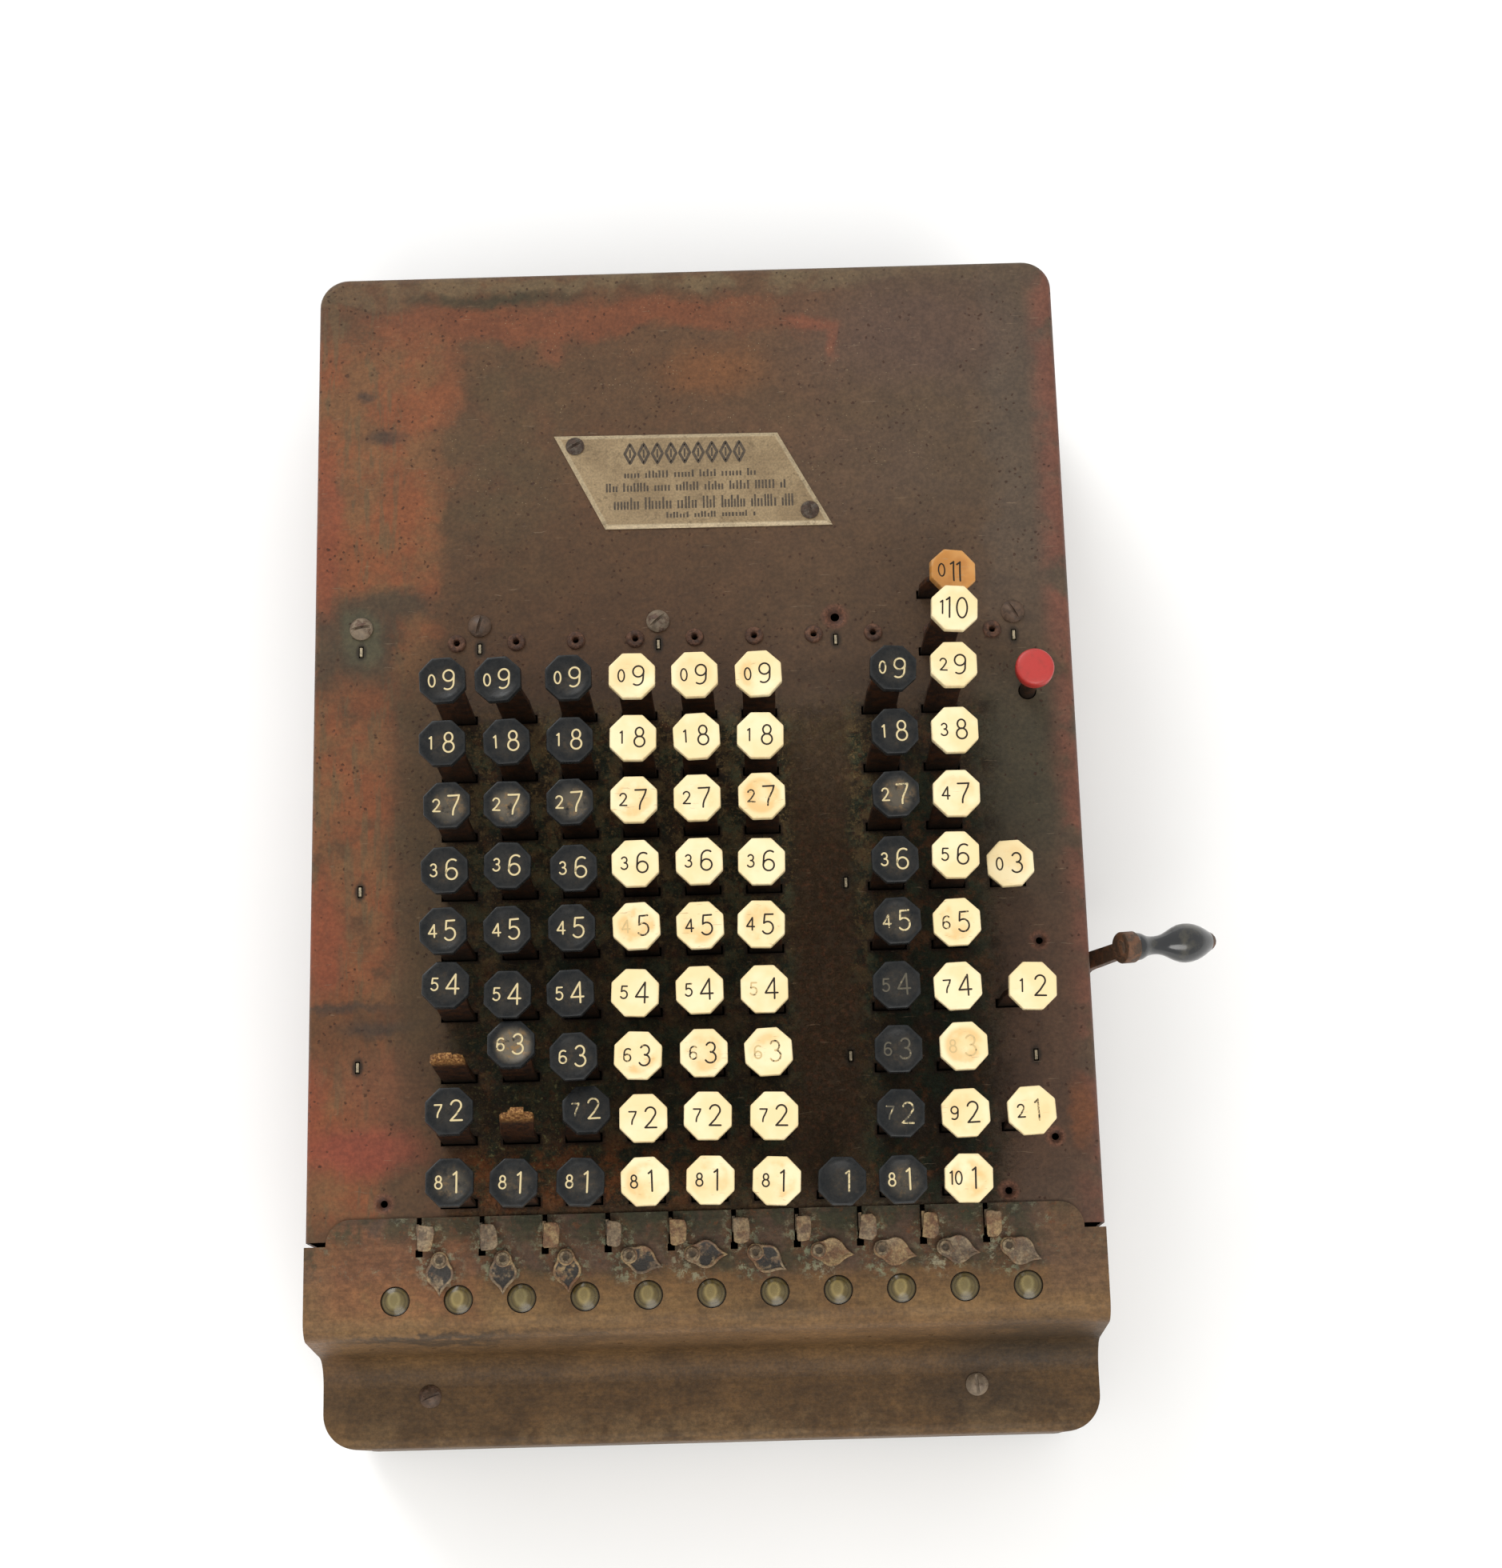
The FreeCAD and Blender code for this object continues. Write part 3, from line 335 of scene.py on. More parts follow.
def case_copper():
    """Oxidised copper-plated sheet: olive brown, bare copper down the left, grime among the keys with painted
    shade under the caps, and painted shade darkening the left side.
    """
    g = Graph("case_copper")
    where = g.warp(9, 0.12, g.warp(24, 0.03))
    near = g.warp(4, 0.35, g.warp(8, 0.07))
    x = g.axis(g.place, 0)
    y = g.axis(g.place, 1)
    smear = g.noise(0.045, 6, 0.7, g.vec("MULTIPLY", where, (0.45, 1, 1)))
    colour = top_oxide(g, where, near, smear, x, y)
    colour = left_copper(g, colour, where, near, smear, x)
    edge = g.times(g.ramp(x, 110, 118), g.spots(0.06, 0.36, 0.54, 4, 0.55))
    colour = g.over(colour, (0.150, 0.062, 0.045), edge, 0.8)

    scab = g.spots(0.75, 0.50, 0.59, 6, 0.85)
    middle = g.block(near, 39, -36, 9.5, 76, 0.35)
    keyboard = g.block(near, 8, -43, 84, 79, 0.09)
    colour = g.over(colour, (0.042, 0.026, 0.014), g.block(near, 0, 44, 84, 7, 0.8), 0.55)
    colour = g.over(colour, (0.070, 0.052, 0.027), g.block(near, -83, -20, 9, 66, 0.7), 0.65)
    colour = g.mix(keyboard, colour, key_ground(g, near, middle, scab, x, y))
    colour = g.over(colour, (0.040, 0.040, 0.026), g.block(near, 102, 6, 12, 40, 0.5), 0.75)
    colour = g.over(colour, (0.072, 0.040, 0.026), g.block(near, 106, -70, 12, 52, 0.45), 0.75)
    colour = g.dabs(colour, (0.150, 0.062, 0.030), near, 0.8, 0.5, [(116, -95, 3, 10)])
    outside = g.math("SUBTRACT", 1, middle)
    colour = g.over(colour, (0.016, 0.008, 0.004), torn_slots(g), keyboard, outside, 0.8)
    colour = hole_stains(g, colour)

    colour = g.mix(g.ramp(g.axis(near, 2), 92, 100), case_side(g), colour)
    speck = g.times(g.ramp(g.cells(0.8), 0.17, 0.09), g.spots(0.11, 0.50, 0.60, 4, 0.7))
    colour = g.over(colour, (0.30, 0.25, 0.16), speck, g.block(where, -6, 142, 80, 38, 0.5), 0.75)
    pit = g.times(g.ramp(g.cells(0.42, g.warp(2, 0.5)), 0.22, 0.12), g.spots(0.07, 0.45, 0.55, 4, 0.7))
    colour = g.over(colour, (0.040, 0.018, 0.011), pit, 0.8)
    scratch = g.spots(1.1, 0.70, 0.75, 2, 0.5, g.vec("MULTIPLY", g.warp(3, 0.06), (0.10, 1.3, 1)))
    colour = g.over(colour, (0.22, 0.17, 0.12), scratch, 0.4)
    for scale, low, high in ((0.10, 0.93, 1.07), (0.32, 0.93, 1.07), (0.85, 0.86, 1.14)):
        colour = mottled(g, colour, scale, low, high)
    # Tints the whole case warmer and darkens its left side: painted shade that offsets the brighter light
    # from the left.
    shade = g.mix(g.ramp(x, -30, 60), (0.88, 0.80, 0.72), (0.96, 0.90, 0.84))
    colour = g.mix(1, colour, shade, "MULTIPLY")
    rough = g.ramp(g.noise(0.035, 6, 0.65), 0.3, 0.7, 0.46, 0.60)
    g.set(Base_Color=colour, Roughness=g.math("ADD", rough, g.times(keyboard, 0.22)), Metallic=0,
          Specular_IOR_Level=0.22)
    height = g.math("ADD", g.times(g.noise(0.9, 6, 0.7), 0.6), g.times(scab, keyboard, 1.2))
    return g.bump(g.math("SUBTRACT", height, g.times(pit, 0.8)), 0.6).mat


def cover_bronze():
    """Front cover: bronze-brown sheet with verdigris crusts round the tabs and pointers."""
    g = Graph("cover_bronze")
    near = g.warp(4, 0.30, g.warp(9, 0.06))
    tight = g.warp(2.2, 0.55)
    x = g.axis(g.place, 0)
    y = g.axis(g.place, 1)
    z = g.axis(g.place, 2)
    cloud = g.noise(0.035, 6, 0.65)
    colour = g.mix(g.ramp(cloud, 0.38, 0.62), (0.150, 0.090, 0.041), (0.118, 0.070, 0.031))
    ledge = g.mix(g.spots(0.045, 0.38, 0.62, 6, 0.65), (0.100, 0.060, 0.026), (0.074, 0.044, 0.019))
    colour = g.mix(g.ramp(z, 92, 72), colour, ledge)
    crest = g.times(g.ramp(y, -142, -149), g.ramp(y, -158, -152))
    crest = g.times(crest, g.spots(0.06, 0.34, 0.56, 5, 0.55))
    colour = g.over(colour, (0.195, 0.128, 0.062), crest, 0.6)
    back = g.ramp(g.axis(near, 1), -143, -137)
    dark = g.mix(g.spots(0.09, 0.42, 0.58, 5, 0.65), (0.048, 0.040, 0.022), (0.085, 0.055, 0.040))
    colour = g.mix(back, colour, dark)
    copper = g.block(near, -96, -137, 26, 14, 0.3)
    copper = g.times(copper, g.spots(0.07, 0.34, 0.48))
    colour = g.over(colour, (0.165, 0.074, 0.038), copper, 0.7)
    tan = g.times(g.block(near, 112, -136, 10, 14, 0.4), 0.8)
    colour = g.mix(tan, colour, (0.125, 0.076, 0.046))
    deep = g.times(g.ramp(y, -132, -125), g.ramp(x, 104, 94))
    deep = g.times(deep, g.spots(0.14, 0.42, 0.56, 5, 0.65))
    colour = g.over(colour, (0.026, 0.034, 0.020), deep, 0.75)
    rust = g.times(g.spots(0.30, 0.56, 0.66, 6, 0.75), g.ramp(y, -145, -136))
    colour = g.over(colour, (0.120, 0.046, 0.018), rust, 0.7)
    # Rust and pale crusts gather round each tab and pointer, which repeat at the key pitch.
    for dx, py, rx, ry in ((SLOT_DX + 2, -129, 5.5, 6.5), (RIVET_DX, RIVET_Y - 2, 6.5, 6)):
        spot = g.repeat(tight, col_x(1) + dx, py)
        crust = g.times(g.blot(spot, 0, 0, rx, ry, 0.35), g.ramp(x, -96, -88), g.ramp(x, 104, 98))
        inner = g.times(crust, g.spots(0.5, 0.40, 0.56, 5, 0.7))
        colour = g.over(colour, (0.100, 0.052, 0.026), inner, 0.75)
        pale = g.times(crust, g.spots(0.42, 0.50, 0.60, 6, 0.75))
        bloom = g.mix(g.ramp(cloud, 0.4, 0.6), (0.280, 0.275, 0.215), (0.170, 0.205, 0.150))
        colour = g.over(colour, bloom, pale, 0.85)
    verdigris = g.times(g.spots(0.25, 0.57, 0.66, 6, 0.75), g.ramp(y, -144, -136))
    colour = g.over(colour, (0.160, 0.175, 0.135), verdigris, 0.6)
    # Dark patches on the cover; the two thin lines along y -157 and -158 are painted shade in the fold's
    # crease.
    for px, py, rx, ry, depth in ((101, -163, 24, 6, 0.85), (88, -178, 18, 8, 0.6),
                                  (-102, -176, 17, 9, 0.35), (-84, -157, 28, 1, 0.8),
                                  (20, -151, 12, 3.5, 0.35), (-36, -158, 24, 1.2, 0.4)):
        colour = g.over(colour, (0.036, 0.026, 0.016), g.blot(near, px, py, rx, ry, 0.7), depth)
    worn = g.times(g.block(near, 0, -186, 130, 5, 0.8), g.spots(0.07, 0.42, 0.58))
    colour = g.over(colour, (0.150, 0.105, 0.058), worn, 0.5)
    red_side = g.times(g.block(near, -118, -150, 5, 18, 0.6), 0.5)
    colour = g.mix(red_side, colour, (0.150, 0.088, 0.048))
    streaks = g.noise(0.8, 4, 0.6, g.vec("MULTIPLY", g.place, (0.16, 1, 1)))
    tone = g.mix(g.ramp(streaks, 0.36, 0.64), (0.90, 0.90, 0.90), (1.10, 1.10, 1.09))
    colour = g.mix(1, colour, tone, "MULTIPLY")
    for scale, low, high in ((0.10, 0.93, 1.07), (0.28, 0.88, 1.12), (0.85, 0.82, 1.18)):
        colour = mottled(g, colour, scale, low, high)
    colour = g.mix(1, colour, (0.97, 0.88, 0.75), "MULTIPLY")
    fine = g.noise(0.9, 6, 0.7)
    g.finish(colour, fine, 0.44, 0.60, Metallic=0, Specular_IOR_Level=0.25)
    return g.bump(g.math("ADD", fine, g.times(verdigris, 0.8)), 0.45).mat


def rusted(name, base, rust, amount=0.5, metallic=0.35, scale=0.35, rough=0.6, rusty_at=()):
    """Steel or iron gone to rust: two colours broken up by noise, and redder where named."""
    g = Graph(name)
    spread = g.ramp(g.noise(scale, 6, 0.7), 0.62 - amount * 0.3, 0.72 - amount * 0.3)
    fine = g.noise(scale * 6, 5, 0.7)
    colour = g.mix(spread, base, rust)
    grain = g.mix(g.ramp(fine, 0.3, 0.7), (0.55, 0.55, 0.55), (1.35, 1.32, 1.28))
    colour = g.mix(0.6, colour, grain, "MULTIPLY")
    for px, py in rusty_at:
        colour = g.over(colour, g.mix(g.ramp(fine, 0.4, 0.6), (0.050, 0.028, 0.018), (0.095, 0.052, 0.032)),
                        g.blot(g.place, px, py, 5, 5, 0.1), 0.85)
    g.finish(colour, fine, rough - 0.12, rough + 0.15, Metallic=metallic, Specular_IOR_Level=0.3)
    return g.bump(g.math("ADD", fine, spread), 0.5).mat


def fasteners():
    """Rusty eyelets, pins rubbed bright, grey-brown plate screws and ringed bronze rivets."""
    g = Graph("fasteners")
    y = g.axis(g.place, 1)
    fine = g.noise(2.6, 5, 0.7)
    spread = g.spots(0.45, 0.42, 0.58, 6, 0.7)
    colour = g.mix(spread, (0.060, 0.030, 0.019), (0.120, 0.056, 0.032))
    colour = g.mix(g.ramp(y, 92, 94), colour, g.mix(spread, (0.085, 0.066, 0.050), (0.060, 0.036, 0.024)))
    radius = g.vec("LENGTH", g.repeat(g.place, col_x(1) + RIVET_DX, RIVET_Y))
    bronze = g.mix(spread, (0.235, 0.180, 0.110), (0.120, 0.080, 0.048))
    bronze = g.mix(g.ramp(radius, 1.15, 0.85), bronze, (0.070, 0.052, 0.034))
    colour = g.mix(g.ramp(y, -128, -130), colour, bronze)
    for px, py in PINS:
        colour = g.mix(g.blot(g.place, px, py, 1.3, 2.2, 0.1), colour, (0.36, 0.30, 0.20))
    colour = mottled(g, colour, 1.2, 0.70, 1.30)
    g.finish(colour, fine, 0.48, 0.75, Metallic=0, Specular_IOR_Level=0.3)
    return g.bump(g.math("ADD", fine, spread), 0.5).mat


def cap_local(g):
    """Position on a key cap in millimetres, moved apart from cap to cap by its seed."""
    return g.data("local", "Vector")


def ivory_cap(name, base, pale, stain):
    """Ivory celluloid, yellowed and stained in its dish."""
    g = Graph(name)
    local = cap_local(g)
    wear = g.data("wear")
    radius = g.vec("LENGTH", g.vec("MULTIPLY", local, (1, 1, 0)))
    hollow = g.times(g.ramp(radius, 6.3, 4.6), g.ramp(radius, 0.5, 3.6, 0.35, 1))
    stains = g.times(g.spots(0.13, 0.42, 0.64, 4, 0.55, local), hollow, wear)
    colour = g.mix(g.spots(0.10, 0.4, 0.65, 3, 0.5, local), base, pale)
    colour = g.over(colour, stain, stains, 0.75)
    dirt = g.times(g.spots(1.1, 0.60, 0.72, 5, 0.75, local), g.ramp(radius, 4.5, 1), wear)
    colour = g.over(colour, (0.25, 0.17, 0.10), dirt, 0.6)
    scratch_where = g.vec("MULTIPLY", local, (0.25, 1.6, 1))
    scratch = g.times(g.ramp(g.noise(0.9, 3, 0.5, scratch_where), 0.66, 0.70), wear)
    colour = g.over(colour, (0.42, 0.28, 0.14), scratch, 0.6)
    rim = g.times(g.ramp(radius, 6.4, 7.2), g.spots(0.5, 0.45, 0.6, 5, 0.7, local))
    colour = g.over(colour, (0.62, 0.44, 0.24), rim, 0.35)
    g.finish(colour, g.noise(0.6, 4, 0.6, local), 0.30, 0.46, Coat_Weight=0.15, Coat_Roughness=0.25,
             Specular_IOR_Level=0.35)
    return g.bump(g.noise(1.4, 4, 0.6, local), 0.10, 0.0002).mat


def black_cap():
    """Black celluloid, browned and greyed where fingers have rubbed it, with a painted sheen round its rim.
    """
    g = Graph("black_cap")
    local = cap_local(g)
    wear = g.data("wear")
    flat = g.vec("MULTIPLY", local, (1, 1, 0))
    radius = g.vec("LENGTH", flat)
    shade = g.spots(0.35, 0.35, 0.65, 5, 0.6, local)
    colour = g.mix(shade, (0.0060, 0.0072, 0.0080), (0.0125, 0.0125, 0.0120))
    reach = g.ramp(g.vec("LENGTH", g.vec("SUBTRACT", flat, (0.6, -0.4, 0))), 6.4, 2)
    thumbed = g.times(reach, g.spots(0.3, 0.26, 0.50, 5, 0.65, local), wear)
    colour = g.over(colour, (0.125, 0.104, 0.074), thumbed, 0.85)
    smear = g.times(g.spots(0.45, 0.50, 0.64, 5, 0.7, local), thumbed)
    colour = g.over(colour, (0.200, 0.120, 0.050), smear, 0.8)
    dust = g.spots(1.6, 0.55, 0.72, 5, 0.75, local)
    colour = g.over(colour, (0.075, 0.070, 0.058), dust, 0.25)
    # Lighter grey round the rim: painted sheen of the glossy edge.
    rim = g.ramp(radius, 6.2, 7)
    colour = g.over(colour, (0.028, 0.030, 0.031), rim, 0.35)
    g.finish(colour, g.noise(0.7, 4, 0.6, local), 0.24, 0.38, Specular_IOR_Level=0.22)
    return g.bump(g.noise(1.4, 4, 0.6, local), 0.12, 0.0002).mat


def cap_figures(name, ink, ground):
    """Paint filled into the engraved figures, lost in places."""
    g = Graph(name)
    local = cap_local(g)
    fade = g.data("wear")
    lost = g.noise(0.8, 5, 0.7, local)
    gone = g.ramp(g.math("ADD", lost, g.times(fade, 0.50)), 0.70, 0.86)
    colour = g.over(ink, ground, gone, 0.92)
    g.set(Base_Color=colour, Roughness=0.6, Specular_IOR_Level=0.2)
    return g.bump(lost, 0.1, 0.0001).mat


def stem_steel():
    """Key stems: brown-black steel, orange where a lost cap has left the end bare, and darkened near the case
    as painted shade under the caps.
    """
    g = Graph("stem_steel")
    z = g.axis(g.place, 2)
    bare = g.data("wear")
    fine = g.noise(1.2, 5, 0.7)
    patches = g.spots(0.30, 0.42, 0.62, 6, 0.7)
    colour = g.mix(patches, (0.020, 0.011, 0.007), (0.062, 0.024, 0.010))
    # Near-black towards the case top: painted shade under the caps.
    colour = g.mix(g.ramp(z, 114, 100), colour, (0.011, 0.008, 0.005))
    tip = g.times(bare, g.ramp(z, 128, 134))
    colour = g.mix(tip, colour, g.mix(g.ramp(fine, 0.42, 0.60), (0.120, 0.045, 0.012), (0.300, 0.160, 0.055)))
    grain = g.mix(g.ramp(fine, 0.3, 0.7), (0.55, 0.55, 0.55), (1.4, 1.35, 1.3))
    colour = g.mix(0.6, colour, grain, "MULTIPLY")
    g.finish(colour, fine, 0.50, 0.75, Metallic=0, Specular_IOR_Level=0.2)
    return g.bump(fine, 0.5).mat


def trim_bronze():
    """Cut-off tabs and pointers: worn bronze, pale where rubbed, brown in the hollows."""
    g = Graph("trim_bronze")
    hollow = g.data("wear")
    patch = g.spots(0.28, 0.40, 0.60, 6, 0.65)
    apart = g.spots(0.055, 0.42, 0.58, 1, 0.5)
    pale = g.mix(apart, (0.295, 0.205, 0.100), (0.240, 0.178, 0.108))
    colour = g.mix(patch, g.mix(apart, (0.150, 0.078, 0.040), (0.115, 0.082, 0.055)), pale)
    rusty = g.times(g.spots(0.4, 0.52, 0.64, 6, 0.7), 0.6)
    colour = g.mix(rusty, colour, (0.160, 0.070, 0.028))
    dark = g.times(hollow, g.spots(0.35, 0.34, 0.52, 4, 0.6))
    colour = g.mix(dark, colour, (0.030, 0.026, 0.022))
    colour = mottled(g, colour, 1.5, 0.75, 1.25)
    fine = g.noise(2, 5, 0.7)
    g.finish(colour, fine, 0.42, 0.60, Metallic=0.1, Specular_IOR_Level=0.35)
    return g.bump(fine, 0.45).mat


def plate_nickel():
    """Nameplate: dull nickel brass, streaked and tarnished, its bevel rubbed bright."""
    g = Graph("plate_nickel")
    near = g.warp(3, 0.3)
    streaks = g.noise(0.8, 5, 0.7, g.vec("MULTIPLY", g.place, (0.12, 1, 1)))
    colour = g.mix(g.spots(0.08, 0.38, 0.62), (0.275, 0.198, 0.106), (0.215, 0.150, 0.078))
    edge = g.math("SUBTRACT", 1, g.data("wear"))
    colour = g.over(colour, (0.44, 0.36, 0.23), edge, 0.6)
    tarnish = g.times(g.ramp(g.noise(0.45, 6, 0.75, near), 0.52, 0.66), 0.65)
    colour = g.mix(tarnish, colour, (0.125, 0.085, 0.042))
    colour = mottled(g, colour, 1.4, 0.84, 1.16)
    g.finish(colour, streaks, 0.36, 0.52, Metallic=0.25)
    return g.bump(streaks, 0.2).mat


def dark_fill():
    """Dirt and old filler in the nameplate's engraving."""
    g = Graph("dark_fill")
    colour = g.mix(g.spots(1.2, 0.35, 0.65, 5, 0.7), (0.030, 0.021, 0.013), (0.075, 0.052, 0.030))
    g.set(Base_Color=colour, Roughness=0.7)
    return g.mat


def lens_amber():
    """Clouded glass domes over the numeral wheels, pale in the middle, with painted shade in a groove and a
    painted shadow of the recess at the rim.
    """
    g = Graph("lens_amber")
    spot = g.repeat(g.place, col_x(0) + WINDOW_DX, WINDOW_Y)
    radius = g.vec("LENGTH", spot)
    cloud = g.noise(0.35, 4, 0.6)
    colour = g.mix(g.ramp(cloud, 0.35, 0.65), (0.150, 0.108, 0.036), (0.185, 0.140, 0.054))
    oval = g.blot(g.warp(0.7, 0.5, spot), -0.3, 0.4, 1.9, 2.5, 0.25)
    ring = g.times(oval, g.math("SUBTRACT", 1, g.times(g.blot(spot, -0.3, 0.4, 1.2, 1.8, 0.3), 0.45)))
    figure = g.mix(g.spots(0.04, 0.4, 0.6, 2, 0.55), (0.42, 0.32, 0.12), (0.32, 0.26, 0.11))
    colour = g.over(colour, figure, ring, 0.9)
    # Dark ring part way out: painted shade in a groove.
    painted_groove_shade = g.times(g.ramp(radius, 2.7, 3), g.ramp(radius, 3.5, 3.2), 0.5)
    colour = g.mix(painted_groove_shade, colour, (0.060, 0.044, 0.020))
    # Dark outer ring: painted shadow in the recess round the lens.
    colour = g.mix(g.ramp(radius, 3.4, 4.3), colour, (0.026, 0.018, 0.009))
    g.finish(colour, cloud, 0.16, 0.30, Specular_IOR_Level=0.35)
    g.set(Transmission_Weight=0.35, IOR=1.46)
    return g.bump(cloud, 0.1, 0.0002).mat


def enamel(name, base, worn, rough):
    """Paint with duller patches."""
    g = Graph(name)
    cloud = g.noise(0.5, 5, 0.65)
    fine = g.noise(2.4, 4, 0.6)
    colour = g.mix(g.ramp(cloud, 0.45, 0.72), base, worn)
    g.finish(colour, fine, rough - 0.08, rough + 0.10)
    return g.bump(fine, 0.12, 0.0002).mat


def grip_black():
    """Polished black of the lever's grip."""
    g = Graph("grip_black")
    cloud = g.noise(0.16, 5, 0.6)
    colour = g.mix(g.ramp(cloud, 0.50, 0.70), (0.008, 0.009, 0.010), (0.045, 0.040, 0.026))
    g.finish(colour, cloud, 0.12, 0.34, Coat_Weight=0.5, Coat_Roughness=0.10)
    return g.bump(g.noise(0.8, 4, 0.6), 0.08, 0.0003).mat


FINISHES = {
    "case": case_copper(),
    "cover": cover_bronze(),
    "ivory": ivory_cap("ivory_cap", (0.80, 0.640, 0.345), (0.84, 0.715, 0.440), (0.72, 0.43, 0.15)),
    "amber": ivory_cap("amber_cap", (0.50, 0.215, 0.045), (0.56, 0.27, 0.075), (0.36, 0.13, 0.02)),
    "black": black_cap(),
    "cream_ink": cap_figures("cream_ink", (0.60, 0.49, 0.27), (0.045, 0.042, 0.036)),
    "brown_ink": cap_figures("brown_ink", (0.020, 0.015, 0.009), (0.62, 0.46, 0.22)),
    "stem": stem_steel(),
    "trim": trim_bronze(),
    "plate": plate_nickel(),
    "fill": dark_fill(),
    "lens": lens_amber(),
    "red": enamel("red_button_paint", (0.42, 0.030, 0.024), (0.34, 0.030, 0.022), 0.42),
    "wheel": enamel("wheel_paint", (0.115, 0.095, 0.045), (0.070, 0.052, 0.028), 0.45),
    "figure": enamel("wheel_figure", (0.78, 0.68, 0.40), (0.60, 0.50, 0.28), 0.5),
    "grip": grip_black(),
    "screw": rusted("screw_steel", (0.190, 0.145, 0.100), (0.085, 0.045, 0.030), 0.4, 0.1, 0.08, 0.45,
                    ((-68.1, TOP_SCREW_Y), (102.9, TOP_SCREW_Y), (-87.8, -173.2))),
    "small": fasteners(),
    "lever": rusted("lever_iron", (0.075, 0.047, 0.030), (0.140, 0.068, 0.036), 0.5, 0.1, 0.3, 0.5),
    "iron": rusted("frame_iron", (0.050, 0.045, 0.040), (0.110, 0.060, 0.035), 0.45, 0.5, 0.1, 0.55),
    "rod": rusted("rod_steel", (0.30, 0.28, 0.25), (0.16, 0.10, 0.06), 0.4, 0.8, 0.2, 0.35),
    "rubber": rusted("feet_rubber", (0.030, 0.028, 0.026), (0.045, 0.042, 0.038), 0.5, 0, 0.3, 0.8),
}

CAD_FINISH = {
    "main_case": "case", "front_cover": "cover", "base_plate": "iron", "rubber_feet": "rubber",
    "case_screws": "screw", "small_fasteners": "small", "window_lenses": "lens",
    "key_guide": "iron", "side_frames": "iron", "cross_rods": "rod", "column_levers": "rod",
}
for node, finish in CAD_FINISH.items():
    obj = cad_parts[node]
    obj.data.materials.clear()
    obj.data.materials.append(FINISHES[finish])


# ---------------------------------------------------------------- mesh tools
class Shape:
    """A mesh in the making: points in millimetres, with a place on the cap and a wear value each."""

    def __init__(self):
        self.verts = []
        self.faces = []
        self.slots = []
        self.local = []
        self.wear = []

    def add(self, verts, faces, slot=0, local=None, wear=0):
        start = len(self.verts)
        self.verts += [tuple(v) for v in verts]
        self.faces += [tuple(start + i for i in f) for f in faces]
        self.slots += [slot] * len(faces)
        self.local += local if local else [tuple(v) for v in verts]
        self.wear += list(wear) if isinstance(wear, (list, tuple)) else [wear] * len(verts)

    def build(self, name, body, finishes, slot_name, replaces=(), smooth=32):
        mesh = bpy.data.meshes.new(name)
        mesh.from_pydata([(x * MM, y * MM, z * MM) for x, y, z in self.verts], [], self.faces)
        skin = bmesh.new()
        skin.from_mesh(mesh)
        bmesh.ops.recalc_face_normals(skin, faces=skin.faces)
        skin.to_mesh(mesh)
        skin.free()
        for finish in finishes:
            mesh.materials.append(FINISHES[finish])
        mesh.polygons.foreach_set("material_index", self.slots)
        mesh.polygons.foreach_set("use_smooth", [True] * len(self.faces))
        local = mesh.attributes.new("local", "FLOAT_VECTOR", "POINT")
        local.data.foreach_set("vector", [c for p in self.local for c in p])
        wear = mesh.attributes.new("wear", "FLOAT", "POINT")
        wear.data.foreach_set("value", self.wear)
        mesh.update()
        mesh.set_sharp_from_angle(angle=math.radians(smooth))
        obj = bpy.data.objects.new(name, mesh)
        bpy.context.scene.collection.objects.link(obj)
        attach(obj, body)
        if replaces:
            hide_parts(*replaces)
        return obj


def loft(rings, cap_start=True, cap_end=True):
    """Points and faces of a skin through closed rings of equal length."""
    n = len(rings[0])
    verts = [p for ring in rings for p in ring]
    faces = []
    for k in range(len(rings) - 1):
        for i in range(n):
            j = (i + 1) % n
            faces.append((k * n + i, k * n + j, (k + 1) * n + j, (k + 1) * n + i))
    if cap_start:
        faces.append(tuple(range(n - 1, -1, -1)))
    if cap_end:
        faces.append(tuple((len(rings) - 1) * n + i for i in range(n)))
    return verts, faces


def fan(verts, faces, first, count, centre):
    """Closes a ring that starts at index first with a fan of triangles."""
    verts.append(centre)
    hub = len(verts) - 1
    for i in range(count):
        faces.append((first + i, first + (i + 1) % count, hub))


def turned_rings(profile, segments):
    """Rings about the Z axis from (radius, height) points."""
    rings = []
    turns = [2 * math.pi * i / segments for i in range(segments)]
    for r, h in profile:
        rings.append([(r * math.cos(a), r * math.sin(a), h) for a in turns])
    return rings


def turned(profile, segments, place):
    """Skin of a turned piece, each point moved by place."""
    return loft([[place(p) for p in ring] for ring in turned_rings(profile, segments)])


# ---------------------------------------------------------------- key caps
SIDE_POINTS = 3


def octagon_ring(inset, corner):
    """Octagon with rounded corners and points along its flats, 8 * (3 + SIDE_POINTS) in all."""
    half = CAP_AF / 2 - inset
    reach = half / math.cos(math.pi / 8)
    cut = corner * math.tan(math.pi / 8)
    side = half * math.tan(math.pi / 8)
    ring = []
    for i in range(8):
        a = math.pi / 8 + i * math.pi / 4
        mid = a + math.pi / 8
        corner_at = Vector((math.cos(a), math.sin(a))) * reach
        before = Vector((math.sin(a - math.pi / 8), -math.cos(a - math.pi / 8)))
        along = Vector((-math.sin(mid), math.cos(mid)))
        ring.append(corner_at + before * cut)
        ring.append(corner_at * (1 - (corner / math.cos(math.pi / 8) - corner) / reach))
        ring.append(corner_at + along * cut)
        start = corner_at + along * cut
        span = 2 * side - 2 * cut
        for k in range(1, SIDE_POINTS + 1):
            ring.append(start + along * (span * k / (SIDE_POINTS + 1)))
    return ring


def dish_z(x, y, dished):
    """Height of the cap's top face over its underside."""
    r = math.hypot(x, y)
    if not dished or r >= DISH_R:
        return CAP_T
    return CAP_T - DISH_DEPTH * (1 - (r / DISH_R) ** 2)


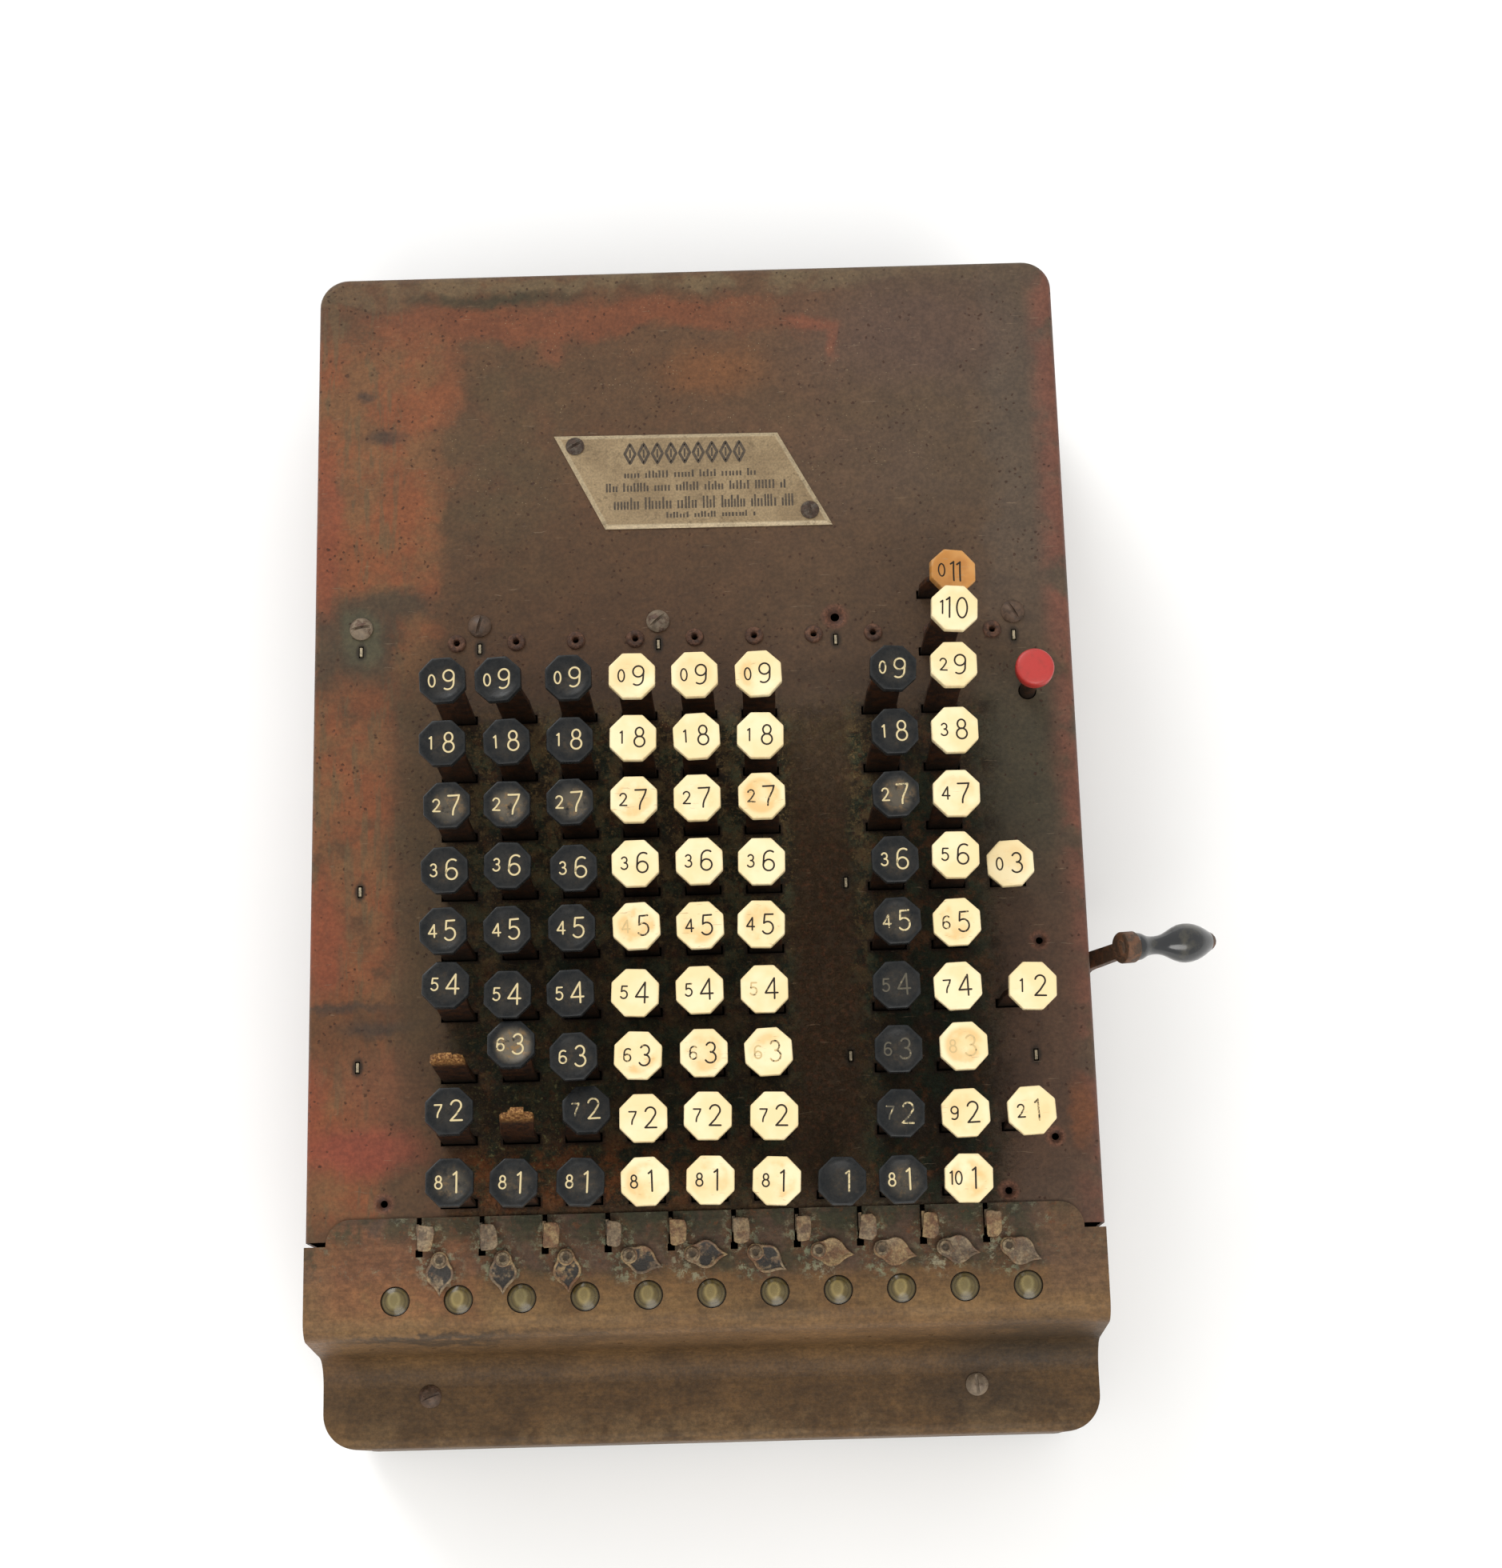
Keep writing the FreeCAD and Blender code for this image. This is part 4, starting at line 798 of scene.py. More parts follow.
# Side of a cap from its underside up, as (inset, height), then the rings of its top as shares of the dish.
CAP_SIDE = ((1.05, 0), (0.90, 0.10), (0.08, 0.85), (0, 1.05), (0, 2.95), (0.06, 3.25), (0.20, 3.42),
            (0.42, 3.5))
CAP_TOP_R = (1, 0.88, 0.75, 0.60, 0.44, 0.28, 0.12)


def add_cap(shape, place, dished, seed, wear):
    """One octagonal cap; place maps cap coordinates to the row frame."""
    rings = []
    for inset, z in CAP_SIDE:
        rings.append([(p.x, p.y, z) for p in octagon_ring(inset, max(0.35, 0.75 - inset))])
    for share in CAP_TOP_R:
        ring = []
        for p in octagon_ring(0.42, 0.35):
            a = math.atan2(p.y, p.x)
            r = DISH_R * share
            x, y = r * math.cos(a), r * math.sin(a)
            ring.append((x, y, dish_z(x, y, dished)))
        rings.append(ring)
    verts, faces = loft(rings, cap_end=False)
    count = len(rings[0])
    fan(verts, faces, len(verts) - count, count, (0, 0, dish_z(0, 0, dished)))
    local = [(x, y, seed) for x, y, _ in verts]
    shape.add([place(v) for v in verts], faces, 0, local, wear)


def arc(cx, cy, rx, ry, start, end, steps=18):
    """Points along an ellipse, from one angle to another."""
    pts = []
    for i in range(steps + 1):
        a = math.radians(start + (end - start) * i / steps)
        pts.append((cx + rx * math.cos(a), cy + ry * math.sin(a)))
    return pts


def six():
    """The figure six, which turned round is also the nine."""
    return [arc(0.36, 0.66, 0.30, 0.34, 55, 180) + arc(0.30, 0.28, 0.27, 0.28, 180, -180, 26)]


FIGURES = {
    "0": [arc(0.28, 0.50, 0.25, 0.50, 90, 450, 30)],
    "1": [[(0.28, 0), (0.28, 0.5), (0.28, 1)], [(0.13, 0.87), (0.26, 0.97)]],
    "2": [arc(0.29, 0.74, 0.25, 0.26, 165, -38) + [(0.30, 0.30), (0.04, 0.02)],
          [(0.03, 0.01), (0.3, 0.01), (0.58, 0.01)]],
    "3": [arc(0.27, 0.76, 0.22, 0.24, 150, -85), arc(0.26, 0.27, 0.27, 0.27, 88, -150)],
    "4": [[(0.44, 0), (0.44, 0.5), (0.44, 1)], [(0.43, 0.99), (0.2, 0.62), (0, 0.29)],
          [(0, 0.28), (0.3, 0.28), (0.60, 0.28)]],
    "5": [[(0.12, 0.98), (0.3, 0.98), (0.52, 0.98)], [(0.12, 0.97), (0.10, 0.8), (0.08, 0.56)],
          arc(0.26, 0.31, 0.28, 0.31, 130, -145)],
    "6": six(),
    "7": [[(0.02, 0.98), (0.3, 0.98), (0.57, 0.98)],
          [(0.56, 0.97), (0.52, 0.80), (0.40, 0.55), (0.30, 0.36), (0.25, 0.18), (0.24, 0)]],
    "8": [arc(0.28, 0.76, 0.20, 0.235, 0, 360, 24), arc(0.28, 0.27, 0.26, 0.27, 90, 450, 26)],
    "9": [[(0.57 - x, 1 - y) for x, y in path] for path in six()],
}
INK_DEPTH = 0.15
INK_PROUD = 0.03
INK_SLOT = 1
PATH_LIFT = 0.004          # keeps crossing strokes apart


def resampled(path, step):
    """The same path with points no more than a step apart."""
    pts = [Vector(path[0])]
    for a, b in zip(path, path[1:]):
        a, b = Vector(a), Vector(b)
        n = max(1, int(math.ceil((b - a).length / step)))
        for i in range(1, n + 1):
            pts.append(a.lerp(b, i / n))
    return pts


def add_stroke(shape, place, path, half, dished, seed, fade, slot, lift):
    """A round-ended inlay that follows a path over the cap's top face."""
    pts = resampled(path, 0.35)
    closed = (pts[0] - pts[-1]).length < 0.05 and len(pts) > 8
    stations = []
    for i, p in enumerate(pts):
        before = pts[max(0, i - 1)]
        after = pts[min(len(pts) - 1, i + 1)]
        if closed and i in (0, len(pts) - 1):
            before, after = pts[-2], pts[1]
        d = (after - before).normalized()
        stations.append((p, d, half))
    if not closed:
        first, last = stations[0], stations[-1]
        for angle in (30, 60, 80):
            a = math.radians(angle)
            stations.insert(0, (first[0] - first[1] * half * math.sin(a), first[1], half * math.cos(a)))
            stations.append((last[0] + last[1] * half * math.sin(a), last[1], half * math.cos(a)))
    rings = []
    for p, d, w in stations:
        side = Vector((-d.y, d.x)) * w
        ring = []
        face = INK_PROUD + lift
        for q, dz in ((p - side, -INK_DEPTH), (p + side, -INK_DEPTH), (p + side, face), (p - side, face)):
            ring.append((q.x, q.y, dish_z(q.x, q.y, dished) + dz))
        rings.append(ring)
    verts, faces = loft(rings, not closed, not closed)
    local = [(x, y, seed) for x, y, _ in verts]
    shape.add([place(v) for v in verts], faces, slot, local, fade)


def add_text(shape, place, text, middle, height, half, dished, seed, fade, gap=0.24):
    """Figures in a row about middle, level with the centre of the cap."""
    widths = [0 if letter == "1" else GLYPH_W * height for letter in text]
    x = middle - (sum(widths) + gap * height * (len(text) - 1)) / 2
    for letter, width in zip(text, widths):
        shift = x - (0.28 * height if letter == "1" else 0)
        for k, path in enumerate(FIGURES[letter]):
            pts = [(shift + px * height, (py - 0.5) * height) for px, py in path]
            add_stroke(shape, place, pts, half, dished, seed, fade, INK_SLOT, PATH_LIFT * k)
        x += width + gap * height


GLYPH_W = 0.56
BIG = 6
SMALL = 3.7
BIG_PAIR = 6.3            # where the large figures are two
SMALL_PAIR = 4.1
STROKE = 0.265


def add_label(shape, place, small, large, dished, seed, fade_small, fade_large):
    """Small complement figure on the left and large figure on the right of a cap."""
    if len(large) == 2:
        add_text(shape, place, small, -3.7, SMALL_PAIR, STROKE * 0.9, dished, seed, fade_small)
        add_text(shape, place, large, 1.2, BIG_PAIR, STROKE, dished, seed, fade_large, 0.32)
        return
    if small:
        middle = -3.4 if len(small) == 2 else -3.2
        add_text(shape, place, small, middle, SMALL, STROKE * 0.88, dished, seed, fade_small)
    add_text(shape, place, large, 2, BIG, STROKE, dished, seed, fade_large)


# ---------------------------------------------------------------- key stems
def stem_outline(top):
    """Half outline of a stem, as (half width, height) from the foot up."""
    shoulder = top - CAP_T - SHOULDER_GAP
    tip = top - CAP_T + 1.2
    half = STEM_W / 2
    neck = NECK_W / 2
    return [(half, STEM_FOOT), (half, 96), (half, CASE_TOP), (half, (CASE_TOP + shoulder) / 2),
            (half, shoulder - 1.6), (half - 0.45, shoulder - 0.5), (half - 1.4, shoulder),
            (neck + 0.4, shoulder + 0.05), (neck, shoulder + 0.5), (neck, tip)]


def add_stem(shape, bend, top, bare, seed):
    """Flat stem with shoulders under its cap and slightly uneven edges."""
    rng = random.Random(seed)
    rings = []
    for half, z in stem_outline(top):
        t = STEM_T / 2
        nick = rng.uniform(-0.08, 0.08) if z > CASE_TOP else 0
        h = half - abs(nick)
        c = 0.22
        ring = [(h - c, -t), (h, -t + c), (h, t - c), (h - c, t)]
        ring += [(-u, -v) for u, v in ring]
        rings.append([bend((x, y, z)) for x, y in ring])
    verts, faces = loft(rings)
    shape.add(verts, faces, 0, None, bare)


# Keys that stand off the grid, their stems bent: (column, row): (x, y) of the cap.
BENT = {
    (2, 9): (-2.4, 0), (1, 4): (0.4, 3), (1, 2): (1.2, 4), (1, 1): (1.3, 2.5),
    (2, 3): (0.5, 4), (2, 1): (0.9, 2), (3, 2): (2.8, 4), (3, 1): (1.3, 1.7),
    (8, 9): (2.4, 0.2), (8, 8): (2.2, -0.3), (8, 7): (1.8, -0.4), (9, 10): (2.6, -0.7),
    (9, 11): (4.4, 0.6), (9, 9): (1.7, 0.7), (10, 4): (1.9, -1.7), (10, 6): (-1.6, -0.3),
    (4, 1): (1, 1.4), (5, 1): (1, 1.3), (6, 1): (1.2, 0.6), (1, 3): (0, 1.5),
    (2, 2): (1.7, 4), (9, 8): (1.2, -0.4), (9, 7): (0.9, -0.7), (1, 7): (1, -0.2),
    (8, 5): (0.9, -0.5), (8, 6): (0.9, -1.1), (9, 5): (-0.5, -1.3), (9, 4): (-1, -1.2),
    (6, 5): (-1.2, -0.4), (6, 4): (-0.8, -0.6), (3, 6): (0.6, -1.1), (6, 6): (-0.6, -0.7),
    (4, 4): (-0.8, -0.7), (5, 4): (-0.8, -0.4), (7, 1): (1.1, 0), (3, 4): (-0.8, -0.4),
    (4, 2): (0.9, 0.6), (5, 2): (0.7, 0.8), (6, 2): (1, 0.3), (1, 6): (0.3, -0.8),
}
# How far a cap's height differs from its row's, by (column, row).
SUNK = {(3, 2): -4.5}
LEAN_LIMIT = 0.35
TILT_DROP = 7.2            # keeps a tilted cap's high edge at its nominal height
BEND_FROM = 10.3           # stems are straight where they can dip into the case


def key_frame(col, row, top):
    """Functions that place a cap and bend a stem for one key."""
    x0, y0 = key_xy(col, row)
    rng = random.Random(col * 31 + row)
    dx, dy = BENT.get((col, row), (rng.uniform(-0.3, 0.1), rng.uniform(-0.5, 0.1)))
    dz = SUNK.get((col, row), 0)
    reach = top - CASE_TOP
    lean_x = max(-LEAN_LIMIT, min(LEAN_LIMIT, 1.3 * dx / reach)) + rng.uniform(-0.012, 0.012)
    lean_y = max(-LEAN_LIMIT, min(LEAN_LIMIT, 1.3 * dy / reach)) + rng.uniform(-0.012, 0.012)
    if dz:
        lean_y *= 1.3
    dz -= TILT_DROP * math.hypot(lean_x, lean_y)
    turn = rng.uniform(-0.05, 0.05)
    c, s = math.cos(turn), math.sin(turn)
    under = top - CAP_T + dz

    def place(p):
        x, y, z = p[0] * c - p[1] * s, p[0] * s + p[1] * c, p[2]
        return (x0 + dx + x + lean_x * (z - 1), y0 + dy + y + lean_y * (z - 1),
                under + z - lean_x * x - lean_y * y)

    def bend(p):
        h = max(0, (p[2] - CASE_TOP - BEND_FROM) / (reach - CAP_T - BEND_FROM))
        k = h ** 1.5
        return (x0 + p[0] + dx * k, y0 + p[1] + dy * k, p[2] + dz * h)

    return place, bend


# ---------------------------------------------------------------- keys
LOST_CAPS = ((1, 3), (2, 2))
TOP_ROW1 = 38
LOW_TOPS = {(9, 11): 23, (10, 6): 30}
FARTHING_ROWS = {1: 2, 2: 4, 3: 6}
PENCE_SMALL = {11: "0", 10: "1", 9: "2", 8: "3", 7: "4", 6: "5", 5: "6", 4: "7", 3: "8", 2: "9", 1: "10"}
# Figures that have worn away: (column, row): (small, large), 0 crisp to 1 gone.
FADED = {
    (8, 4): (0.9, 0.9), (8, 3): (1, 0.85), (8, 2): (0.7, 0.6), (8, 5): (0.5, 0.4), (3, 2): (0.6, 0.4),
    (9, 3): (1, 0.75), (7, 1): (1, 0.5), (4, 5): (0.8, 0.4), (6, 4): (0.7, 0.3), (6, 3): (0.8, 0.6),
    (5, 3): (0.5, 0.3), (5, 4): (0.3, 0.2), (9, 5): (0.4, 0.3), (6, 7): (0.4, 0.3), (9, 4): (0.3, 0.3),
    (8, 7): (0.3, 0.4), (8, 9): (0.4, 0.4), (10, 2): (0.4, 0.5), (3, 5): (0.3, 0.3), (4, 3): (0.4, 0.3),
}
# Caps rubbed or stained by use, 0 clean to 1 heavy.
WORN = {
    (2, 7): 1, (1, 7): 0.7, (3, 7): 0.75, (2, 3): 2.2, (2, 9): 0.05, (1, 5): 0.2, (4, 7): 0.8, (6, 7): 1,
    (5, 7): 0.6, (4, 5): 1, (5, 5): 0.9, (6, 5): 0.85, (4, 3): 1, (5, 3): 0.8, (6, 3): 0.8, (6, 1): 1,
    (4, 1): 0.8, (5, 1): 0.7, (1, 1): 0.5, (2, 1): 0.25, (3, 1): 0.2, (8, 7): 0.8, (8, 1): 0.45, (8, 5): 0.3,
    (9, 5): 0.9, (9, 3): 0.9, (9, 9): 0.4, (9, 1): 0.9, (9, 7): 0.5, (9, 2): 0.5, (10, 2): 0.3, (9, 11): 0.7,
    (6, 9): 0.7, (5, 9): 0.4, (4, 9): 0.35, (10, 6): 0.3, (3, 3): 0.15,
}


def finish_of(col, row):
    if col in (1, 2, 3, 7, 8):
        return "black"
    return "amber" if (col, row) == (9, 11) else "ivory"


def label_of(col, row):
    if col == 10:
        figure = {r: f for f, r in FARTHING_ROWS.items()}[row]
        return str(3 - figure), str(figure)
    if col == 9:
        return PENCE_SMALL[row], str(row)
    if col == 7:
        return "", "1"
    return str(9 - row), str(row)


def dished_key(col, row):
    figure = int(label_of(col, row)[1])
    return figure % 2 == 1


def add_scab(stems, bend, top, seed):
    """Lump of rust and broken cap material left round a bare stem's end."""
    rng = random.Random(seed)
    under = top - CAP_T
    for _ in range(5):
        cx = rng.uniform(-3.2, 3)
        cy = rng.uniform(-0.6, 0.6)
        size = rng.uniform(0.9, 1.9)
        rings = []
        for level, share in ((0, 0.75), (0.3, 1), (0.65, 0.8), (0.95, 0.35)):
            ring = []
            for i in range(10):
                a = 2 * math.pi * i / 10
                r = size * share * rng.uniform(0.75, 1.2)
                z = min(under - SHOULDER_GAP - 0.3 + level * size * 1.7, top - 0.6)
                ring.append(bend((cx + 1.3 * r * math.cos(a), cy + 0.75 * r * math.sin(a), z)))
            rings.append(ring)
        verts, faces = loft(rings)
        stems.add(verts, faces, 0, None, 1)


def add_key(caps, stems, col, row):
    """Adds one key's cap, with its figures in the second material slot, and its stem."""
    top = CASE_TOP + LOW_TOPS.get((col, row), TOP_ROW1 + row - 1)
    place, bend = key_frame(col, row, top)
    lost = (col, row) in LOST_CAPS
    seed = col * 40 + row * 9
    add_stem(stems, bend, top, 1 if lost else 0, col * 100 + row)
    if lost:
        add_scab(stems, bend, top, col * 7 + row)
        return
    dished = dished_key(col, row)
    wear = WORN.get((col, row), 0.12)
    add_cap(caps, place, dished, seed, wear)
    small, large = label_of(col, row)
    usual = (0.30, 0.24) if col < 4 and row < 8 else (0.08, 0.04)
    fade_small, fade_large = FADED.get((col, row), usual)
    add_label(caps, place, small, large, dished, seed, fade_small, fade_large)


INK = {"black": "cream_ink", "ivory": "brown_ink", "amber": "brown_ink"}
SLOT = {"black": "black_caps", "ivory": "ivory_caps", "amber": "amber_cap"}


def build_keys(body, spots):
    """All keys of one body: a piece of caps for each colour, and a piece of stems."""
    stems = Shape()
    caps = {}
    for col, row in spots:
        finish = finish_of(col, row)
        add_key(caps.setdefault(finish, Shape()), stems, col, row)
    stems.build(body + "_stems", body, ["stem"], "key_stems", [body])
    for finish, shape in caps.items():
        shape.build(body + "_" + finish + "_caps", body, [finish, INK[finish]], SLOT[finish], smooth=28)


for row in range(1, 10):
    build_keys("pound_keys_%d" % row, [(col, row) for col in range(1, 7)])
    build_keys("shilling_key_%d" % row, [(8, row)])
for row in range(1, 12):
    build_keys("pence_key_%d" % row, [(9, row)])
for figure, row in FARTHING_ROWS.items():
    build_keys("farthing_key_%d" % figure, [(10, row)])
build_keys("ten_shilling_key", [(7, 1)])


# ---------------------------------------------------------------- release button
def build_button():
    """Red domed head on a round steel stem."""
    low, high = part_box("release_button")
    x = (low.x + high.x) / 2 / MM
    y = (low.y + high.y) / 2 / MM
    top = high.z / MM
    profile = [(0.4, -5), (5.2, -5), (5.75, -4.7), (5.97, -4.1), (6, -1.3), (5.85, -0.75),
               (5.5, -0.38), (5, -0.2), (3.6, -0.08), (1.8, -0.02), (0.5, 0)]

    def place(p):
        return (x + p[0], y + p[1], top + p[2])

    head = Shape()
    head.add(*turned(profile, 56, place))
    head.build("release_button_head", "release_button", ["red"], "red_button", ["release_button"])
    profile = [(2.3, STEM_FOOT - top), (2.5, STEM_FOOT - top + 0.3), (2.5, -26.6), (2.45, -10), (2.5, -4.8)]
    stem = Shape()
    stem.add(*turned(profile, 32, place))
    stem.build("release_button_stem", "release_button", ["stem"], "key_stems")


build_button()


# ---------------------------------------------------------------- numeral wheels
# Section of a wheel and its hub, as (radius, distance along the shaft).
WHEEL_PROFILE = ((3.05, -8), (5, -8), (5, -4), (8.3, -4), (8.7, -3.8), (WHEEL_R, -3.5),
                 (WHEEL_R, 3.5), (8.7, 3.8), (8.3, 4), (5, 4), (5, 8), (3.05, 8))


def build_wheels():
    """Eleven numeral wheels on one shaft, with the figures 0 to 9 round each rim."""
    shape = Shape()
    for col in range(0, 11):
        x = col_x(col) + WINDOW_DX
        rings = turned_rings(WHEEL_PROFILE, 48)
        rings = [[(x + h, WINDOW_Y + a, WHEEL_Z + b) for a, b, h in ring] for ring in rings]
        verts, faces = loft(rings + rings[:1], False, False)
        count = len(verts) - len(rings[0])
        shape.add(verts[:count], [tuple(i % count for i in f) for f in faces])
        for digit in range(10):
            turn = 2 * math.pi * digit / 10

            def place(p, x=x, turn=turn):
                a = turn + p[1] / WHEEL_R
                r = WHEEL_R + p[2]
                return (x + p[0], WINDOW_Y + r * math.sin(a), WHEEL_Z + r * math.cos(a))

            for path in FIGURES[str(digit)]:
                pts = [((px - 0.28) * 4.4, (py - 0.5) * 4.4) for px, py in path]
                add_wheel_stroke(shape, place, pts, 0.34)
    body = "numeral_wheels"
    shape.build("numeral_wheels_set", body, ["wheel", "figure"], "wheel_black", [body])


def add_wheel_stroke(shape, place, path, half):
    """One stroke of a painted figure, laid round the wheel's rim."""
    pts = resampled(path, 0.35)
    rings = []
    for i, p in enumerate(pts):
        d = (pts[min(len(pts) - 1, i + 1)] - pts[max(0, i - 1)]).normalized()
        side = Vector((-d.y, d.x)) * half
        ring = []
        for q, dz in ((p - side, -0.15), (p + side, -0.15), (p + side, 0.03), (p - side, 0.03)):
            ring.append(place((q.x, q.y, dz)))
        rings.append(ring)
    verts, faces = loft(rings)
    shape.add(verts, faces, 1)


build_wheels()


# ---------------------------------------------------------------- cut-off tabs
TAB_Z = CASE_TOP + 4.2
TAB_MID = (2.4, 0)
TAB_OUTLINE = ((-0.3, -3.5), (0.2, -4.1), (1.6, -4.2), (3.4, -4.1), (4.4, -3.6), (4.95, -2.5), (5.1, -0.6),
               (5.1, 1.6), (4.95, 3), (4.4, 3.8), (3.4, 4.1), (1.4, 4.15), (0.1, 4.1), (-0.35, 3.7))
TAB_EDGE = ((0.12, 0), (0, 0.15), (0, 0.8), (0.15, 0.95), (0.5, 0.98))


def tab_rings(x, rng):
    """Rings of one thumb piece, its outline worn a little out of true."""
    turn = rng.uniform(-0.07, 0.05)
    narrow = rng.uniform(0.84, 1)
    taper = rng.uniform(-0.035, 0.035)
    worn = [rng.uniform(0.90, 1) for _ in TAB_OUTLINE]
    rings = []
    for inset, z in TAB_EDGE:
        ring = []
        for (px, py), share in zip(TAB_OUTLINE, worn):
            q = Vector(((px - TAB_MID[0]) * (narrow + taper * py), py)) * share
            q = q * (1 - inset / max(q.length, 0.1))
            u = q.x * math.cos(turn) - q.y * math.sin(turn)
            v = q.x * math.sin(turn) + q.y * math.cos(turn)
            ring.append((x + TAB_MID[0] * narrow + u, TAB_Y + v * 0.97, TAB_Z + z - 0.04 * abs(v) * (v < 0)))
        rings.append(ring)
    return rings


def build_tabs():
    """Thumb pieces bent over from blades that run in the slots."""
    shape = Shape()
    for col in range(1, 11):
        x = col_x(col) + SLOT_DX
        shape.add(*loft(tab_rings(x, random.Random(col))))
        blade = ((-0.45, -0.3), (0.45, -0.3), (0.45, 4.3), (-0.45, 4.3))
        levels = (CASE_TOP - 7.9, CASE_TOP, TAB_Z + 0.1)
        rings = [[(x + px, TAB_Y + py, z) for px, py in blade] for z in levels]
        shape.add(*loft(rings), wear=0.6)
    shape.build("cutoff_tab_set", "cutoff_tabs", ["trim"], "bronze_trim", ["cutoff_tabs"])


build_tabs()


# ---------------------------------------------------------------- decimal pointers
# Half outline of a pointer from the rear of its ring to its tip, as (half width, y) from the rivet.
SPADE = ((0, 2.6), (0.9, 2.45), (1.6, 2.1), (2, 1.6), (2.4, 1), (2.65, 0.3), (2.8, -0.4), (3.05, -1.1),
         (3.5, -1.8), (3.95, -2.6), (4.2, -3.4), (4.25, -4.2), (4.1, -5), (3.75, -5.8), (3.2, -6.6),
         (2.5, -7.3), (1.75, -7.95), (1.2, -8.6), (0.75, -9.3), (0.35, -10.1), (0, -10.75))
HOLLOW_COLS = (1, 2, 3, 4, 5, 6)


def spade_ring(inset, z, place):
    """The spade's outline moved in by inset, as a closed ring at height z."""
    left = [(-w, y) for w, y in SPADE[1:-1]]
    pts = [Vector(p) for p in list(SPADE) + left[::-1]]
    ring = []
    n = len(pts)
    for i, p in enumerate(pts):
        along = (pts[(i + 1) % n] - pts[i - 1]).normalized()
        inward = Vector((along.y, -along.x))
        q = p + inward * inset
        if p.x * q.x < 0 or (abs(p.x) < 0.01):
            q.x = 0
        ring.append(place(q.x, q.y, z))
    return ring


def build_pointer(col):
    """Stamped spade: raised edge, hollow body, and a ring where the rivet holds it."""
    angle = math.radians(POINTER_ANGLES[col - 1])
    x0 = col_x(col) + RIVET_DX
    z0 = CASE_TOP + 2.03
    c, s = math.cos(angle), math.sin(angle)

    def place(px, py, z):
        return (x0 + px * c - py * s, RIVET_Y + px * s + py * c, z0 + z)

    hollow = 1 if col in HOLLOW_COLS else 0.12
    steps = [(0.12, 0, 0), (0, 0.12, 0), (0, 0.62, 0), (0.15, 0.77, 0), (0.60, 0.79, 0),
             (0.85, 0.62, hollow), (1.15, 0.55, hollow)]
    rings = [spade_ring(inset, z, place) for inset, z, w in steps]
    verts, faces = loft(rings)
    n = len(rings[0])
    wear = []
    for inset, z, w in steps:
        wear += [w] * n
    shape = Shape()
    shape.add(verts, [tuple(reversed(f)) for f in faces], 0, None, wear)
    # Collar round the rivet.
    profile = [(1.1, 0.5), (2.45, 0.5), (2.5, 0.65), (2.3, 0.79), (1.9, 0.795), (1.75, 0.7), (1.1, 0.7)]
    shape.add(*turned(profile, 32, lambda p: place(*p)))
    body = "decimal_pointer_%d" % col
    shape.build(body + "_plate", body, ["trim"], "bronze_trim", [body], smooth=40)


for col in range(1, 11):
    build_pointer(col)


# ---------------------------------------------------------------- lever grip
BOSS_AT = (131.5, -43, 96.5)
BOSS_L = 5.1
GRIP_DROP = math.radians(25)
GRIP_YAW = math.radians(7.7)
LEVER_Y = -42.8
LEVER_Z = 42
HUB_X = 122.6
# Stations along the arm's middle line, from the hub up, as (x, z, width, lean of the section).
ARM = ((124.1, 42, 5.6, 0), (124.1, 60, 5.6, 0), (124.1, 68, 5.6, 2), (124.35, 72, 5.55, 14),
       (125.2, 75.2, 5.5, 23), (127.2, 79.6, 5.4, 24), (130.2, 86.4, 5.2, 24), (133.3, 93.6, 5, 24))


def on_grip(p, distance=0):
    """Moves a point made along Z into the line of the grip, distance from the boss's face."""
    x, y, z = p[0], p[1], p[2] + distance
    turn = math.pi / 2 + GRIP_DROP
    x, z = x * math.cos(turn) + z * math.sin(turn), -x * math.sin(turn) + z * math.cos(turn)
    c, s = math.cos(GRIP_YAW), math.sin(GRIP_YAW)
    return (BOSS_AT[0] + x * c - y * s, BOSS_AT[1] + x * s + y * c, BOSS_AT[2] + z)


def on_shaft(p, start=0):
    """Moves a point made along Z into the line of the lever's shaft."""
    return (start + p[2], LEVER_Y + p[0], LEVER_Z + p[1])


def build_grip():
    """Turned grip and its metal end, beyond the lever's boss."""
    wood = [(0.4, 0.02), (4.1, 0.02), (4.32, 0.3), (4.36, 1.1), (4.2, 2.2), (3.7, 3.4), (3.15, 4.7),
            (2.9, 6.3), (2.86, 8), (3.08, 9.8), (3.6, 11.6), (4.5, 13.6), (5.4, 15.6), (6, 17.5),
            (6.2, 19.2), (6.12, 21), (5.75, 22.8), (5.1, 24.6), (4.3, 26.2), (3.55, 27.6), (3.1, 28.25),
            (0.4, 28.3)]
    shape = Shape()
    shape.add(*turned(wood, 56, lambda p: on_grip(p, BOSS_L)))
    tip = [(0.4, 28.25), (2.95, 28.3), (3, 28.55), (2.6, 29.3), (2, 30), (1.4, 30.45), (0.4, 30.75)]
    shape.add(*turned(tip, 40, lambda p: on_grip(p, BOSS_L)), 1)
    shape.build("lever_grip_turned", "zero_lever", ["grip", "lever"], "grip_black", ["lever_grip"])


